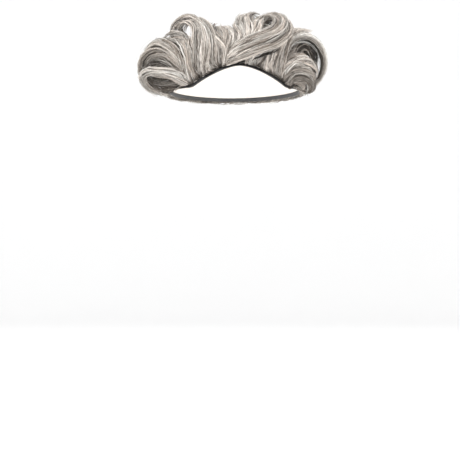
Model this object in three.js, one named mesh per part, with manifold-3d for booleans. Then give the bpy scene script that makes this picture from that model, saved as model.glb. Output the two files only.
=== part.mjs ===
import * as THREE from "three";
import { mergeVertices } from "three/addons/utils/BufferGeometryUtils.js";
import Module from "manifold-3d";

// A toupee: a thin domed base with a dark edge, and teased wavy locks in regions.
// Millimetres, +Z up. The wearer faces -Y. The origin is the underside of the base at the crown.
// Angles named turn go round the head in degrees: 0 at the front, positive towards +X, 180 at the back.
// Shares named down go from the crown, 0, to the rim of the base, 1, along the head.

const wasm = await Module();
wasm.setup();

// The head that the base fits
const HEAD_BREADTH = 154;
const HEAD_DEPTH = 194;
const CROWN_RISE = 80;

// How far the head goes on below the rim, as a share of the way down
const HEAD_REACH = 1.3;

// The rim of the base: how far it lies below the crown
const FRONT_DROP = 26;
const CORNER_DROP = 49;
const BACK_DROP = 55;
const CORNER_TURN = 45;
const FRONT_ARCH = 1.7;

// Walls and clearances
const BASE_WALL = 1.2;
const EDGE_WIDTH = 4;
const BACKING_WALL = 1.8;
const CLEARANCE = 0.35;

// Hair: the reach of its long locks, a usual lock's width, and how far the teased crown stands
// off the base
const HAIR_LENGTH = 150;
const LOCK_WIDTH = 10;
const CROWN_LOFT = 28;

// How deep locks are rooted, as a share of the backing
const ROOT_SHARE = 0.72;

// Colours
const HAIR_COLOURS = { light: 0xb9afa8, grey: 0x948b84, shade: 0x6f6761 };
const BASE_COLOUR = 0xdad3ca;
const EDGE_COLOUR = 0x232425;

// Fineness of the faceted surfaces
const TURN_STEP = 10;
const ROW_STEP = 1 / 6;
const SECTION_SIDES = 6;
const DEGREES_PER_RING = 40;
const LENGTH_PER_RING = 25;
const STEPS_PER_RING = 6;

// How a lock's width runs: its share at the root, and the shares of its length where it is full
const ROOT_GIRTH = 0.8;
const FULL_FROM = 0.2;
const FULL_TO = 0.55;

// The most that half a lock's width may be, as a share of the bend's radius
const BEND_LIMIT = 0.75;

// Locks that are combed back: waves along each, how far they ripple as a share of the loft and
// sway as a share of half the breadth, the share of the length in which they rise to their loft,
// and rings along each
const COMBED_WAVES = 1.25;
const COMBED_RIPPLE = 0.05;
const COMBED_SWAY = 0.03;
const COMBED_RISE = 0.3;
const COMBED_RINGS = 6;
const NEARBY = 0.01;

const HALF_TURN = 180;
const FULL_TURN = 360;
const FRONT = new THREE.Vector3(0, -1, 0);
const { degToRad, lerp, smoothstep } = THREE.MathUtils;

// Head surface

function edgeDrop(turn) {
  const away = Math.abs(THREE.MathUtils.euclideanModulo(turn + HALF_TURN, FULL_TURN) - HALF_TURN);
  if (away <= CORNER_TURN) {
    return lerp(FRONT_DROP, CORNER_DROP, (away / CORNER_TURN) ** FRONT_ARCH);
  }
  return lerp(CORNER_DROP, BACK_DROP, smoothstep(away, CORNER_TURN, HALF_TURN));
}

function headNormal(point) {
  const normal = new THREE.Vector3(
    point.x / (HEAD_BREADTH / 2) ** 2,
    point.y / (HEAD_DEPTH / 2) ** 2,
    (point.z + CROWN_RISE) / CROWN_RISE ** 2,
  );
  return normal.normalize();
}

function onHead(turn, down, lift) {
  const angle = degToRad(turn);
  const latitude = down * Math.acos(1 - edgeDrop(turn) / CROWN_RISE);
  const point = new THREE.Vector3(
    (HEAD_BREADTH / 2) * Math.sin(latitude) * Math.sin(angle),
    (-HEAD_DEPTH / 2) * Math.sin(latitude) * Math.cos(angle),
    CROWN_RISE * (Math.cos(latitude) - 1),
  );
  return point.addScaledVector(headNormal(point), lift);
}

// The share of the way down at which a band of the given width above the rim begins
function shareAboveRim(turn, width) {
  const reach = onHead(turn, 1, 0).distanceTo(onHead(turn, 0.9, 0)) / 0.1;
  return 1 - width / reach;
}

// Solids

function solidFrom(positions, indices) {
  const geometry = new THREE.BufferGeometry();
  geometry.setAttribute("position", new THREE.Float32BufferAttribute(positions, 3));
  geometry.setIndex(indices);
  const merged = mergeVertices(geometry, 1e-4);
  const corners = merged.index.array;
  const kept = [];
  for (let i = 0; i < corners.length; i += 3) {
    const [a, b, c] = [corners[i], corners[i + 1], corners[i + 2]];
    if (a !== b && b !== c && c !== a) {
      kept.push(a, b, c);
    }
  }
  const mesh = new wasm.Mesh({
    numProp: 3,
    vertProperties: new Float32Array(merged.attributes.position.array),
    triVerts: new Uint32Array(kept),
  });
  return new wasm.Manifold(mesh);
}

// A closed loft through rings of equally many points, with a fan over each end
function loft(rings) {
  const sides = rings[0].length;
  const positions = rings.flat().flatMap((point) => point.toArray());
  const indices = [];
  for (let i = 0; i + 1 < rings.length; i++) {
    for (let j = 0; j < sides; j++) {
      const a = i * sides + j;
      const b = i * sides + ((j + 1) % sides);
      indices.push(a, b, b + sides, a, b + sides, a + sides);
    }
  }
  const last = (rings.length - 1) * sides;
  for (let j = 1; j + 1 < sides; j++) {
    indices.push(0, j + 1, j, last, last + j, last + j + 1);
  }
  return solidFrom(positions, indices);
}

function evenStops(from, to, count) {
  return Array.from({ length: count + 1 }, (_, index) => lerp(from, to, index / count));
}

// The ends and the multiples of a step between them, so that shells over one another have
// their facets in line
function gridStops(from, to, step) {
  const first = Math.floor(from / step) + 1;
  const last = Math.ceil(to / step) - 1;
  const count = Math.max(0, last - first + 1);
  return [from, ...Array.from({ length: count }, (_, index) => (first + index) * step), to];
}

// A shell over the head between two turns and two shares, from one lift to another.
// Growth makes it larger past its four edges as well.
function shell({ from, to, top, bottom, inner, outer, growth = 0 }) {
  const whole = to - from >= FULL_TURN;
  const wider = whole ? 0 : THREE.MathUtils.radToDeg((2 * growth) / (HEAD_BREADTH / 2));
  const turns = gridStops(from, to, TURN_STEP);
  if (whole) {
    turns.pop();
  } else if (growth > 0) {
    turns.unshift(from - wider);
    turns.push(to + wider);
  }
  const shareAt = (end, turn) => (typeof end === "function" ? end(turn) : end);
  const downsAt = (turn) => {
    const downs = gridStops(shareAt(top, turn), shareAt(bottom, turn), ROW_STEP);
    const taller = (2 * growth) / CROWN_RISE;
    return growth > 0 ? [Math.max(0, downs[0] - taller), ...downs, downs.at(-1) + taller] : downs;
  };
  const columns = turns.map((turn) => {
    const downs = downsAt(turn);
    return [outer + growth, inner - growth].map((lift) => downs.map((down) => onHead(turn, down, lift)));
  });
  const rows = columns[0][0].length;
  const positions = columns.flat(2).flatMap((point) => point.toArray());
  const at = (column, side, row) => ((column % columns.length) * 2 + side) * rows + row;
  const indices = [];
  const quad = (a, b, c, d) => indices.push(a, b, c, a, c, d);
  const bands = whole ? columns.length : columns.length - 1;
  for (let i = 0; i < bands; i++) {
    for (let row = 0; row + 1 < rows; row++) {
      quad(at(i, 0, row), at(i, 0, row + 1), at(i + 1, 0, row + 1), at(i + 1, 0, row));
      quad(at(i, 1, row), at(i + 1, 1, row), at(i + 1, 1, row + 1), at(i, 1, row + 1));
    }
    quad(at(i, 0, rows - 1), at(i, 1, rows - 1), at(i + 1, 1, rows - 1), at(i + 1, 0, rows - 1));
    quad(at(i, 0, 0), at(i + 1, 0, 0), at(i + 1, 1, 0), at(i, 1, 0));
  }
  for (let row = 0; row + 1 < rows && !whole; row++) {
    quad(at(0, 0, row), at(0, 1, row), at(0, 1, row + 1), at(0, 0, row + 1));
    quad(at(bands, 0, row), at(bands, 0, row + 1), at(bands, 1, row + 1), at(bands, 1, row));
  }
  return solidFrom(positions, indices);
}

// Locks

// A lock's heading: lean tips it sideways from straight up, and fore tips it to the front
function heading(lean, fore) {
  return new THREE.Vector3(
    Math.sin(degToRad(lean)) * Math.cos(degToRad(fore)),
    -Math.sin(degToRad(fore)),
    Math.cos(degToRad(lean)) * Math.cos(degToRad(fore)),
  );
}

// The stations of a lock's centre line: place, heading, share of the length and sharpest bends
function bentLine({ turn, down, lean, fore, bends }) {
  const place = onHead(turn, down, BASE_WALL + BACKING_WALL * ROOT_SHARE);
  const total = bends.reduce((sum, [run]) => sum + run, 0);
  const stations = [];
  let [leans, tips, done] = [lean, fore, 0];
  const note = (run, swing, pitch) => {
    stations.push({
      place: place.clone(),
      ahead: heading(leans, tips),
      share: done / total,
      swing: Math.abs(degToRad(swing)) / (run * HAIR_LENGTH),
      pitch: Math.abs(degToRad(pitch)) / (run * HAIR_LENGTH),
    });
  };
  for (const [run, swing, pitch] of bends) {
    const bend = Math.max(Math.abs(swing), Math.abs(pitch)) / DEGREES_PER_RING;
    const rings = Math.max(1, Math.ceil(bend), Math.ceil((run * HAIR_LENGTH) / LENGTH_PER_RING));
    const parts = rings * STEPS_PER_RING;
    note(run, swing, pitch);
    for (let part = 1; part <= parts; part++) {
      const halfway = heading(leans + swing / parts / 2, tips + pitch / parts / 2);
      place.addScaledVector(halfway, (run * HAIR_LENGTH) / parts);
      leans += swing / parts;
      tips += pitch / parts;
      done += run / parts;
      if (part % STEPS_PER_RING === 0 && part < parts) {
        note(run, swing, pitch);
      }
    }
  }
  const [run, swing, pitch] = bends.at(-1);
  note(run, swing, pitch);
  return stations;
}

// A point over the head on a line combed from front to back. side is the share of half the
// breadth across, and along is 0 over the crown and 1 at the back rim.
function onCombing(side, along, lift) {
  const round = Math.sqrt(1 - side ** 2);
  const reach = Math.acos(Math.min(1, (1 - BACK_DROP / CROWN_RISE) / round));
  const point = new THREE.Vector3(
    (HEAD_BREADTH / 2) * side,
    (HEAD_DEPTH / 2) * round * Math.sin(along * reach),
    CROWN_RISE * (round * Math.cos(along * reach) - 1),
  );
  return point.addScaledVector(headNormal(point), lift);
}

// The stations of a lock that is combed back over the head. It rises to its loft and falls to
// its trail, both as shares of the crown's loft.
function combedLine({ side, from, to, loft, trail, sway }) {
  const placeAt = (share) => {
    const wave = Math.sin(2 * Math.PI * COMBED_WAVES * share);
    const root = BASE_WALL + BACKING_WALL * ROOT_SHARE;
    const rise = lerp(root, loft * CROWN_LOFT, smoothstep(share, 0, COMBED_RISE));
    const fall = lerp(rise, trail * CROWN_LOFT, smoothstep(share, FULL_FROM, 1));
    const lift = fall + wave * COMBED_RIPPLE * CROWN_LOFT * share;
    return onCombing(side + sway * wave, lerp(from, to, share), lift);
  };
  return evenStops(0, 1, COMBED_RINGS).map((share) => {
    const place = placeAt(share);
    const ahead = placeAt(share + NEARBY).sub(placeAt(share - NEARBY)).normalize();
    return { place, ahead, share, swing: 0, pitch: 0, outward: headNormal(place) };
  });
}

// The share of its width that a lock has along its length
function girth(share, tip) {
  const root = lerp(ROOT_GIRTH, 1, smoothstep(share, 0, FULL_FROM));
  return root * lerp(1, tip, smoothstep(share, FULL_TO, 1));
}

// One lock, an oval section swept along its line, larger all round by the given growth
function lock(row, growth) {
  const stations = row.bends ? bentLine(row) : combedLine(row);
  const across = stations[0].ahead.clone().cross(stations[0].outward ?? FRONT).normalize();
  const rings = stations.map(({ place, ahead, share, swing, pitch, outward }, index) => {
    if (outward) {
      across.copy(ahead).cross(outward);
    }
    across.addScaledVector(ahead, -across.dot(ahead)).normalize();
    const through = ahead.clone().cross(across);
    const width = girth(share, row.tip) * LOCK_WIDTH;
    const broad = Math.min((width * row.broad) / 2, BEND_LIMIT / swing) + growth;
    const deep = Math.min((width * row.deep) / 2, BEND_LIMIT / pitch) + growth;
    const end = index === stations.length - 1 ? growth : index === 0 ? -growth : 0;
    const ring = [];
    for (let side = 0; side < SECTION_SIDES; side++) {
      const angle = (2 * Math.PI * (side + 0.5)) / SECTION_SIDES;
      const point = place.clone().addScaledVector(ahead, end);
      point.addScaledVector(across, Math.cos(angle) * broad);
      ring.push(point.addScaledVector(through, Math.sin(angle) * deep));
    }
    return ring;
  });
  return loft(rings);
}

// The space of the head and of what lies on it up to a lift, which locks are trimmed to
function headSpace(lift) {
  return shell({
    from: -HALF_TURN,
    to: HALF_TURN,
    top: 0,
    bottom: HEAD_REACH,
    inner: -2 * LOCK_WIDTH,
    outer: lift,
  });
}

// A region of hair: its locks fused to a backing over its stretch of the base. The backing is a
// thin layer, or as thick as its pile, a share of the crown's loft.
function region({ backing, locks }, growth) {
  const inner = BASE_WALL + CLEARANCE;
  const outer = inner + (backing.pile ? backing.pile * CROWN_LOFT : BACKING_WALL);
  const trimmed = locks
    .map((row) => lock(row, growth))
    .reduce((sum, next) => sum.add(next))
    .subtract(headSpace(inner + BACKING_WALL / 2 - growth));
  return shell({ ...backing, inner, outer, growth }).add(trimmed);
}

// The largest piece of a solid, without crumbs that a cut left loose
function mainBody(solid) {
  return solid.decompose().sort((a, b) => b.volume() - a.volume())[0];
}

// Rows of locks. lean, fore and facing set the heading at the root. broad and deep are shares of
// LOCK_WIDTH, and tip is the share that is left at the end. Each bend gives a run, as a share of
// HAIR_LENGTH, and the degrees that lean and fore change over it.

const LEFT_QUIFF = {
  backing: { from: -52, to: -18, top: 0.5, bottom: 0.95 },
  locks: [
    {
      turn: -40, down: 0.9, lean: -36, fore: 23, broad: 1.3, deep: 1.0, tip: 0.5,
      bends: [
        [0.1, 32, -3], [0.12, 14, -20], [0.11, -4, -23],
        [0.13, -74, -8], [0.15, -85, 15], [0.1, -60, 10],
      ],
    },
    {
      turn: -31, down: 0.9, lean: -55, fore: 36, broad: 1.3, deep: 0.9, tip: 0.3,
      bends: [
        [0.09, 45, -8], [0.11, 15, -30], [0.1, -12, -24],
        [0.09, -38, -9], [0.12, -115, 24], [0.05, -35, 9],
      ],
    },
    {
      turn: -22, down: 0.9, lean: -65, fore: 35, broad: 1.1, deep: 0.8, tip: 0.5,
      bends: [
        [0.07, 50, -3], [0.09, 20, -35], [0.09, -20, -24],
        [0.08, -14, -8], [0.1, -32, -2], [0.08, -32, 5],
      ],
    },
    {
      turn: -46, down: 0.9, lean: -35, fore: 28, broad: 1.2, deep: 0.9, tip: 0.6,
      bends: [[0.1, 4, -14], [0.1, 0, -24], [0.11, -18, -19], [0.15, -57, -9]],
    },
    {
      turn: -49, down: 0.8, lean: -29, fore: 28, broad: 1.2, deep: 0.9, tip: 0.6,
      bends: [[0.12, 5, -15], [0.09, -2, -30], [0.09, -30, -19], [0.08, -32, -7]],
    },
  ],
};

const RIGHT_SWOOP = {
  backing: { from: -12, to: 1, top: 0.7, bottom: 0.95 },
  locks: [
    {
      turn: -9, down: 0.93, lean: -58, fore: 61, broad: 1.2, deep: 1.0, tip: 0.6,
      bends: [
        [0.07, 98, -17], [0.11, 28, -30], [0.24, 0, -34],
        [0.11, -30, -15], [0.11, -67, -12], [0.13, -70, 19],
      ],
    },
    {
      turn: -10, down: 0.9, lean: -31, fore: 61, broad: 1.1, deep: 0.9, tip: 0.5,
      bends: [
        [0.09, 65, -19], [0.1, 30, -30], [0.2, 0, -30],
        [0.1, -30, -17], [0.08, -75, -7], [0.12, -85, 28],
      ],
    },
  ],
};

const CENTRE_WAVES = {
  backing: { from: -18, to: 1, top: 0.5, bottom: 0.95 },
  locks: [
    {
      turn: -15, down: 0.9, lean: -75, fore: 29, broad: 1.2, deep: 0.8, tip: 0.7,
      bends: [[0.05, 70, 8], [0.08, 5, -35], [0.08, -38, -29], [0.07, 18, -15], [0.12, 80, 4]],
    },
    {
      turn: -11, down: 0.86, lean: -60, fore: 39, broad: 1.1, deep: 0.9, tip: 0.6,
      bends: [[0.06, 65, -7], [0.08, 27, -36], [0.1, -5, -21], [0.08, -32, -13], [0.11, 60, -5]],
    },
    {
      turn: -7, down: 0.84, lean: -30, fore: 53, broad: 1.1, deep: 0.9, tip: 0.6,
      bends: [
        [0.07, 62, -18], [0.09, 12, -35], [0.09, -17, -22],
        [0.08, -40, -17], [0.07, 43, -9], [0.12, 95, 15],
      ],
    },
  ],
};

const FRONT_ROOTS = {
  backing: { from: 1, to: 35, top: 0.5, bottom: 0.95 },
  locks: [
    {
      turn: 3, down: 0.91, lean: 70, fore: 67, broad: 0.9, deep: 0.6, tip: 0.8,
      bends: [[0.04, -34, -17], [0.1, -11, -50]],
    },
    {
      turn: 12, down: 0.91, lean: 47, fore: 44, broad: 1.0, deep: 0.6, tip: 0.8,
      bends: [[0.05, -20, -9], [0.11, -17, -35]],
    },
    {
      turn: 22, down: 0.91, lean: 55, fore: 40, broad: 1.1, deep: 0.7, tip: 0.9,
      bends: [[0.05, -27, -9], [0.14, -10, -30]],
    },
    {
      turn: 31, down: 0.91, lean: 30, fore: 26, broad: 1.2, deep: 0.8, tip: 0.6,
      bends: [[0.05, -11, -5], [0.1, 0, -17], [0.09, 15, -25], [0.09, 22, -12], [0.18, 50, 1]],
    },
  ],
};

const RIGHT_LOOP = {
  backing: { from: 35, to: 62, top: 0.5, bottom: 0.88 },
  locks: [
    {
      turn: 40, down: 0.86, lean: 17, fore: 9, broad: 0.8, deep: 2.2, tip: 0.7,
      bends: [
        [0.09, -5, -1], [0.1, 12, -15], [0.1, 38, -18],
        [0.17, 65, 5], [0.18, 50, 12], [0.15, 45, 0],
      ],
    },
  ],
};

const RIGHT_TEMPLE_CURL = {
  backing: { from: 35, to: 62, top: 0.88, bottom: 0.95 },
  locks: [
    {
      turn: 41, down: 0.92, lean: 15, fore: 27, broad: 0.9, deep: 0.9, tip: 0.7,
      bends: [[0.1, 12, -3], [0.08, 28, -19], [0.14, 80, -40], [0.15, 35, 5]],
    },
    {
      turn: 42, down: 0.94, lean: 19, fore: 30, broad: 0.9, deep: 0.9, tip: 0.6,
      bends: [[0.09, 12, 1], [0.08, 32, -15], [0.13, 75, -50], [0.14, 45, -6]],
    },
    {
      turn: 44, down: 0.95, lean: 20, fore: 37, broad: 0.9, deep: 0.9, tip: 0.6,
      bends: [[0.07, 17, 0], [0.07, 38, -17], [0.13, 72, -56], [0.12, 60, 5]],
    },
    {
      turn: 47, down: 0.95, lean: 50, fore: 35, broad: 0.9, deep: 0.9, tip: 0.6,
      bends: [[0.06, 25, -20], [0.07, 50, -28], [0.06, 60, -19], [0.08, 90, 0]],
    },
  ],
};

const LEFT_TEMPLE_CURL = {
  backing: { from: -70, to: -52, top: 0.5, bottom: 0.95 },
  locks: [
    {
      turn: -54, down: 0.95, lean: -25, fore: 20, broad: 0.6, deep: 2.0, tip: 0.6,
      bends: [
        [0.1, -3, -10], [0.11, -12, -15], [0.1, -45, -14],
        [0.15, -80, 9], [0.16, -60, 5], [0.14, -25, -2],
      ],
    },
    {
      turn: -55, down: 0.93, lean: -31, fore: 27, broad: 1.1, deep: 0.9, tip: 0.7,
      bends: [[0.07, -8, -10], [0.1, -20, -15], [0.17, -72, -22], [0.07, -19, -2]],
    },
    {
      turn: -54, down: 0.95, lean: -40, fore: 29, broad: 1.1, deep: 0.7, tip: 0.5,
      bends: [[0.08, -20, -3], [0.09, -22, -16], [0.15, -15, -36], [0.06, -15, -12]],
    },
    {
      turn: -62, down: 0.95, lean: -100, fore: -7, broad: 1.5, deep: 0.7, tip: 0.7,
      bends: [[0.1, 5, 0], [0.16, 45, 15]],
    },
  ],
};

// A tier of locks combed back side by side, swaying to one side and the other by turns
function tier({ count, left, right, ...row }) {
  return evenStops(left, right, count - 1).map((side, index) => ({
    ...row,
    side,
    sway: index % 2 === 0 ? COMBED_SWAY : -COMBED_SWAY,
  }));
}

const CROWN_WAVES = {
  backing: { from: -HALF_TURN, to: HALF_TURN, top: 0, bottom: 0.5, pile: 0.3 },
  locks: [
    ...tier({
      count: 5, left: -0.44, right: 0.44, from: -0.44, to: 0.6,
      loft: 1, trail: 0.55, broad: 2.5, deep: 1.3, tip: 0.6,
    }),
    ...tier({
      count: 3, left: -0.36, right: 0.36, from: 0.15, to: 0.88,
      loft: 0.6, trail: 0.35, broad: 3.2, deep: 1.2, tip: 0.5,
    }),
    {
      turn: 22, down: 0.46, lean: 12, fore: 22, broad: 1.1, deep: 0.9, tip: 0.5,
      bends: [[0.1, 5, -12], [0.11, -28, -18], [0.13, 85, -40]],
    },
    {
      turn: 44, down: 0.5, lean: 16, fore: 22, broad: 1.1, deep: 0.9, tip: 0.5,
      bends: [[0.12, -5, -12], [0.12, 10, -18], [0.13, -85, -40]],
    },
  ],
};

const BACK_WAVES = {
  backing: { from: 110, to: 250, top: 0.5, bottom: 0.95, pile: 0.22 },
  locks: tier({
    count: 5, left: -0.6, right: 0.6, from: 0.6, to: 1.02,
    loft: 0.43, trail: 0.22, broad: 2.8, deep: 1, tip: 0.5,
  }),
};

function sideWaves(inner, outer, from, to) {
  return {
    backing: { from, to, top: 0.5, bottom: 0.95, pile: 0.22 },
    locks: tier({
      count: 2, left: inner, right: outer, from: -0.4, to: 0.85,
      loft: 0.4, trail: 0.25, broad: 2.2, deep: 0.9, tip: 0.5,
    }),
  };
}

// The regions in the order in which they keep their shape: each gives way to those before it
const REGIONS = [
  ["left_quiff", "grey", LEFT_QUIFF],
  ["right_swoop", "light", RIGHT_SWOOP],
  ["centre_waves", "grey", CENTRE_WAVES],
  ["right_loop", "grey", RIGHT_LOOP],
  ["right_temple_curl", "light", RIGHT_TEMPLE_CURL],
  ["left_temple_curl", "light", LEFT_TEMPLE_CURL],
  ["front_roots", "light", FRONT_ROOTS],
  ["left_side_waves", "shade", sideWaves(-0.64, -0.82, -110, -70)],
  ["right_side_waves", "shade", sideWaves(0.64, 0.82, 62, 110)],
  ["crown_waves", "shade", CROWN_WAVES],
  ["back_waves", "shade", BACK_WAVES],
];

// Assembly

function material(colour, roughness) {
  return new THREE.MeshStandardMaterial({ color: colour, roughness, metalness: 0 });
}

function meshOf(name, solid, finish) {
  const { vertProperties, triVerts } = solid.getMesh();
  const geometry = new THREE.BufferGeometry();
  geometry.setAttribute("position", new THREE.BufferAttribute(new Float32Array(vertProperties), 3));
  geometry.setIndex(new THREE.BufferAttribute(new Uint32Array(triVerts), 1));
  const mesh = new THREE.Mesh(geometry, finish);
  mesh.name = name;
  return mesh;
}

function baseCap() {
  return shell({
    from: -HALF_TURN,
    to: HALF_TURN,
    top: 0,
    bottom: (turn) => shareAboveRim(turn, EDGE_WIDTH + CLEARANCE),
    inner: 0,
    outer: BASE_WALL,
  });
}

function edgeBand() {
  return shell({
    from: -HALF_TURN,
    to: HALF_TURN,
    top: (turn) => shareAboveRim(turn, EDGE_WIDTH),
    bottom: 1,
    inner: 0,
    outer: BASE_WALL,
  });
}

const toupee = new THREE.Group();
toupee.add(meshOf("base_cap", baseCap(), material(BASE_COLOUR, 0.8)));
toupee.add(meshOf("edge_band", edgeBand(), material(EDGE_COLOUR, 0.55)));

const taken = [];
for (const [name, shade, parts] of REGIONS) {
  let hair = region(parts, 0);
  for (const other of taken) {
    hair = hair.subtract(other);
  }
  toupee.add(meshOf(name, mainBody(hair), material(HAIR_COLOURS[shade], 0.5)));
  taken.push(region(parts, CLEARANCE));
}

export default toupee;
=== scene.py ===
"""A silver-grey toupee as bundles of strands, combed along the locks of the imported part.

Metres, +Z up. The wearer faces -Y, and the origin is the underside of the base at the crown.
Angles named turn go round the head in degrees, 0 at the front and positive towards +X.
Shares named down go from the crown, 0, to the rim of the base, 1, along the head.
"""

import math

import bpy
import numpy as np
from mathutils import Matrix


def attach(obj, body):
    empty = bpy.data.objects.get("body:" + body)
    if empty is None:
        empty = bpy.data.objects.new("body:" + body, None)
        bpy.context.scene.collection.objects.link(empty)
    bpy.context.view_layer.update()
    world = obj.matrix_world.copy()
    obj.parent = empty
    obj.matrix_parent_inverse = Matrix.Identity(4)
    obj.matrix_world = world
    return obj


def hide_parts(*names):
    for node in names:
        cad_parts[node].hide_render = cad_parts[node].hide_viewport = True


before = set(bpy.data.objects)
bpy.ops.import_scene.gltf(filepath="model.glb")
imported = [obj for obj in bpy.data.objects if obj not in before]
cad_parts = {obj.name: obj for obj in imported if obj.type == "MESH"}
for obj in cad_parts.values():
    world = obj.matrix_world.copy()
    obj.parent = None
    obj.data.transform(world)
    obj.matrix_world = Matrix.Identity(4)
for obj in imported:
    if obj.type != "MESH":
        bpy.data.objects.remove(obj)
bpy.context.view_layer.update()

# The head that the base fits, and the rim, as in the part
HEAD_BREADTH = 0.154
HEAD_DEPTH = 0.194
CROWN_RISE = 0.080
FRONT_DROP = 0.026
CORNER_DROP = 0.049
BACK_DROP = 0.055
CORNER_TURN = 45
FRONT_ARCH = 1.7
BASE_WALL = 0.0012
EDGE_WIDTH = 0.004
BACKING_WALL = 0.0018
CLEARANCE = 0.00035
ROOT_SHARE = 0.72

# The hair's driving sizes, as in the part
HAIR_LENGTH = 0.150
LOCK_WIDTH = 0.010
CROWN_LOFT = 0.028
ROOT_GIRTH = 0.8
FULL_FROM = 0.2
FULL_TO = 0.55
BEND_LIMIT = 0.75

# Strands: thickness, and stations along each
STRAND_THICKNESS = 0.00052
STRAND_STATIONS = 10
CURL_STATIONS = 13
COMBED_STATIONS = 10
SHORT_STATIONS = 5
FRIZZ = 0.00028
LOWEST_ROOT = 0.97
TONE_SPREAD = 0.11
DARK_SHARE = 0.26
DARK_TONES = (0.3, 0.68)
CLUMP_SIZE = 12
STRAND_SIDES = 3
GUIDE_STATIONS = 97
STRIPS_PER_ROW = 4
CLUMP_TONE_SPREAD = 0.1
FLYAWAYS_PER_LOCK = 16

# Combed hair: clumps, waves and how far it stands off. A side is a share of half the breadth.
COMBED_CLUMP_SIZE = 9
TEASED_CLUMP_SIZE = 14
LAYERS = (0.3, 1.05)
WAVE_LENGTH = 0.056
WAVE_SIDE = 0.045
WAVE_RISE = 0.0017
WIDEST_SIDE = 0.94
LEAST_LIFT = 0.0008
SIDE_LOFT = 0.011
SIDE_WAVE_DOWN = 0.026
SIDE_WAVE_RISE = 0.0018
LOWEST_TIP = 1.03
FRINGE_LENGTHS = (0.014, 0.03)
FRINGE_LIFTS = (0.0012, 0.005)
CROWN_TO_RIM = 0.11
UNDERCOAT_STAND = 0.0024
UPRIGHT = 0.8

# The short hair under the strands: its lift over the base, and how much more it has by place
UNDER_LIFT = 0.0012
UNDER_CROWN = 0.0075
UNDER_SIDES = 0.0035
SHEET_GAP = 0.0003

# The camera, at the photograph's place, and the photograph's scale at the vertex
VIEW_YAW = 4
VIEW_DISTANCE = 2.4
VIEW_SIDE = -0.0055
VIEW_HEIGHT = -0.2013
PHOTO_PIXELS = 460
METRES_PER_PIXEL = 0.0011
FLOOR_HEIGHT = -0.43
FLOOR_RADIUS = 3.0
FLOOR_CURVE = 1.2
WALL_HEIGHT = 1.6

YAW = math.radians(VIEW_YAW)
TO_OBJECT = np.array([[math.cos(YAW), math.sin(YAW), 0], [-math.sin(YAW), math.cos(YAW), 0], [0, 0, 1]])
CAMERA_PLACE = TO_OBJECT @ np.array([VIEW_SIDE, -VIEW_DISTANCE, VIEW_HEIGHT])

BODY = "root"
HALF_SIZES = np.array([HEAD_BREADTH / 2, HEAD_DEPTH / 2, CROWN_RISE])


# Small helpers


def unit(vectors):
    return vectors / np.maximum(np.linalg.norm(vectors, axis=-1, keepdims=True), 1e-12)


def smooth(value, low, high):
    """Rises from 0 at low to 1 at high."""
    share = np.clip((value - low) / (high - low), 0, 1)
    return share * share * (3 - 2 * share)


def mix(low, high, share):
    return low + (high - low) * share


# The head's surface


def edge_drop(turn):
    away = np.abs((np.asarray(turn, float) + 180) % 360 - 180)
    front = mix(FRONT_DROP, CORNER_DROP, (np.minimum(away, CORNER_TURN) / CORNER_TURN) ** FRONT_ARCH)
    back = mix(CORNER_DROP, BACK_DROP, smooth(away, CORNER_TURN, 180))
    return np.where(away <= CORNER_TURN, front, back)


def head_normal(points):
    return unit((points + [0, 0, CROWN_RISE]) / HALF_SIZES**2)


def on_head(turn, down, lift):
    """The points at these turns and shares, a lift above the head."""
    turn, down, lift = np.broadcast_arrays(np.asarray(turn, float), down, lift)
    angle = np.radians(turn)
    latitude = down * np.arccos(1 - edge_drop(turn) / CROWN_RISE)
    across = np.sin(latitude)
    shape = np.stack([across * np.sin(angle), -across * np.cos(angle), np.cos(latitude) - 1], -1)
    points = shape * HALF_SIZES
    return points + head_normal(points) * lift[..., None]


def on_combing(side, along, lift):
    """Points on lines combed from front to back. side is the share of half the breadth across,
    and along is 0 over the crown and 1 at the back rim."""
    side, along, lift = np.broadcast_arrays(np.asarray(side, float), along, lift)
    round_share = np.sqrt(1 - side**2)
    reach = np.arccos(np.minimum(1, (1 - BACK_DROP / CROWN_RISE) / round_share))
    angle = along * reach
    shape = [side, round_share * np.sin(angle), round_share * np.cos(angle) - 1]
    points = np.stack(shape, -1) * HALF_SIZES
    return points + head_normal(points) * lift[..., None]


def share_above_rim(turn, width):
    """The share of the way down at which a band of this width above the rim begins."""
    reach = np.linalg.norm(on_head(turn, 1, 0) - on_head(turn, 0.9, 0), axis=-1) / 0.1
    return 1 - width / reach


# Lock guides. Each row holds the root's turn and down, the lean and fore of the heading there,
# broad and deep as shares of LOCK_WIDTH, the share of the width left at the tip, and the bends:
# a run, as a share of HAIR_LENGTH, and the degrees that lean and fore change over it.

LEFT_QUIFF = [
    (-40, 0.9, -36, 23, 1.3, 1.0, 0.5,
     [(0.1, 32, -3), (0.12, 14, -20), (0.11, -4, -23), (0.13, -74, -8), (0.15, -85, 15), (0.1, -60, 10)]),
    (-31, 0.9, -55, 36, 1.3, 0.9, 0.3,
     [(0.09, 45, -8), (0.11, 15, -30), (0.1, -12, -24), (0.09, -38, -9), (0.12, -115, 24), (0.05, -35, 9)]),
    (-22, 0.9, -65, 35, 1.1, 0.8, 0.5,
     [(0.07, 50, -3), (0.09, 20, -35), (0.09, -20, -24), (0.08, -14, -8), (0.1, -32, -2), (0.08, -32, 5)]),
    (-46, 0.9, -35, 28, 1.2, 0.9, 0.6,
     [(0.1, 4, -14), (0.1, 0, -24), (0.11, -18, -19), (0.15, -57, -9)]),
    (-49, 0.8, -29, 28, 1.2, 0.9, 0.6,
     [(0.12, 5, -15), (0.09, -2, -30), (0.09, -30, -19), (0.08, -32, -7)]),
]

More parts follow.
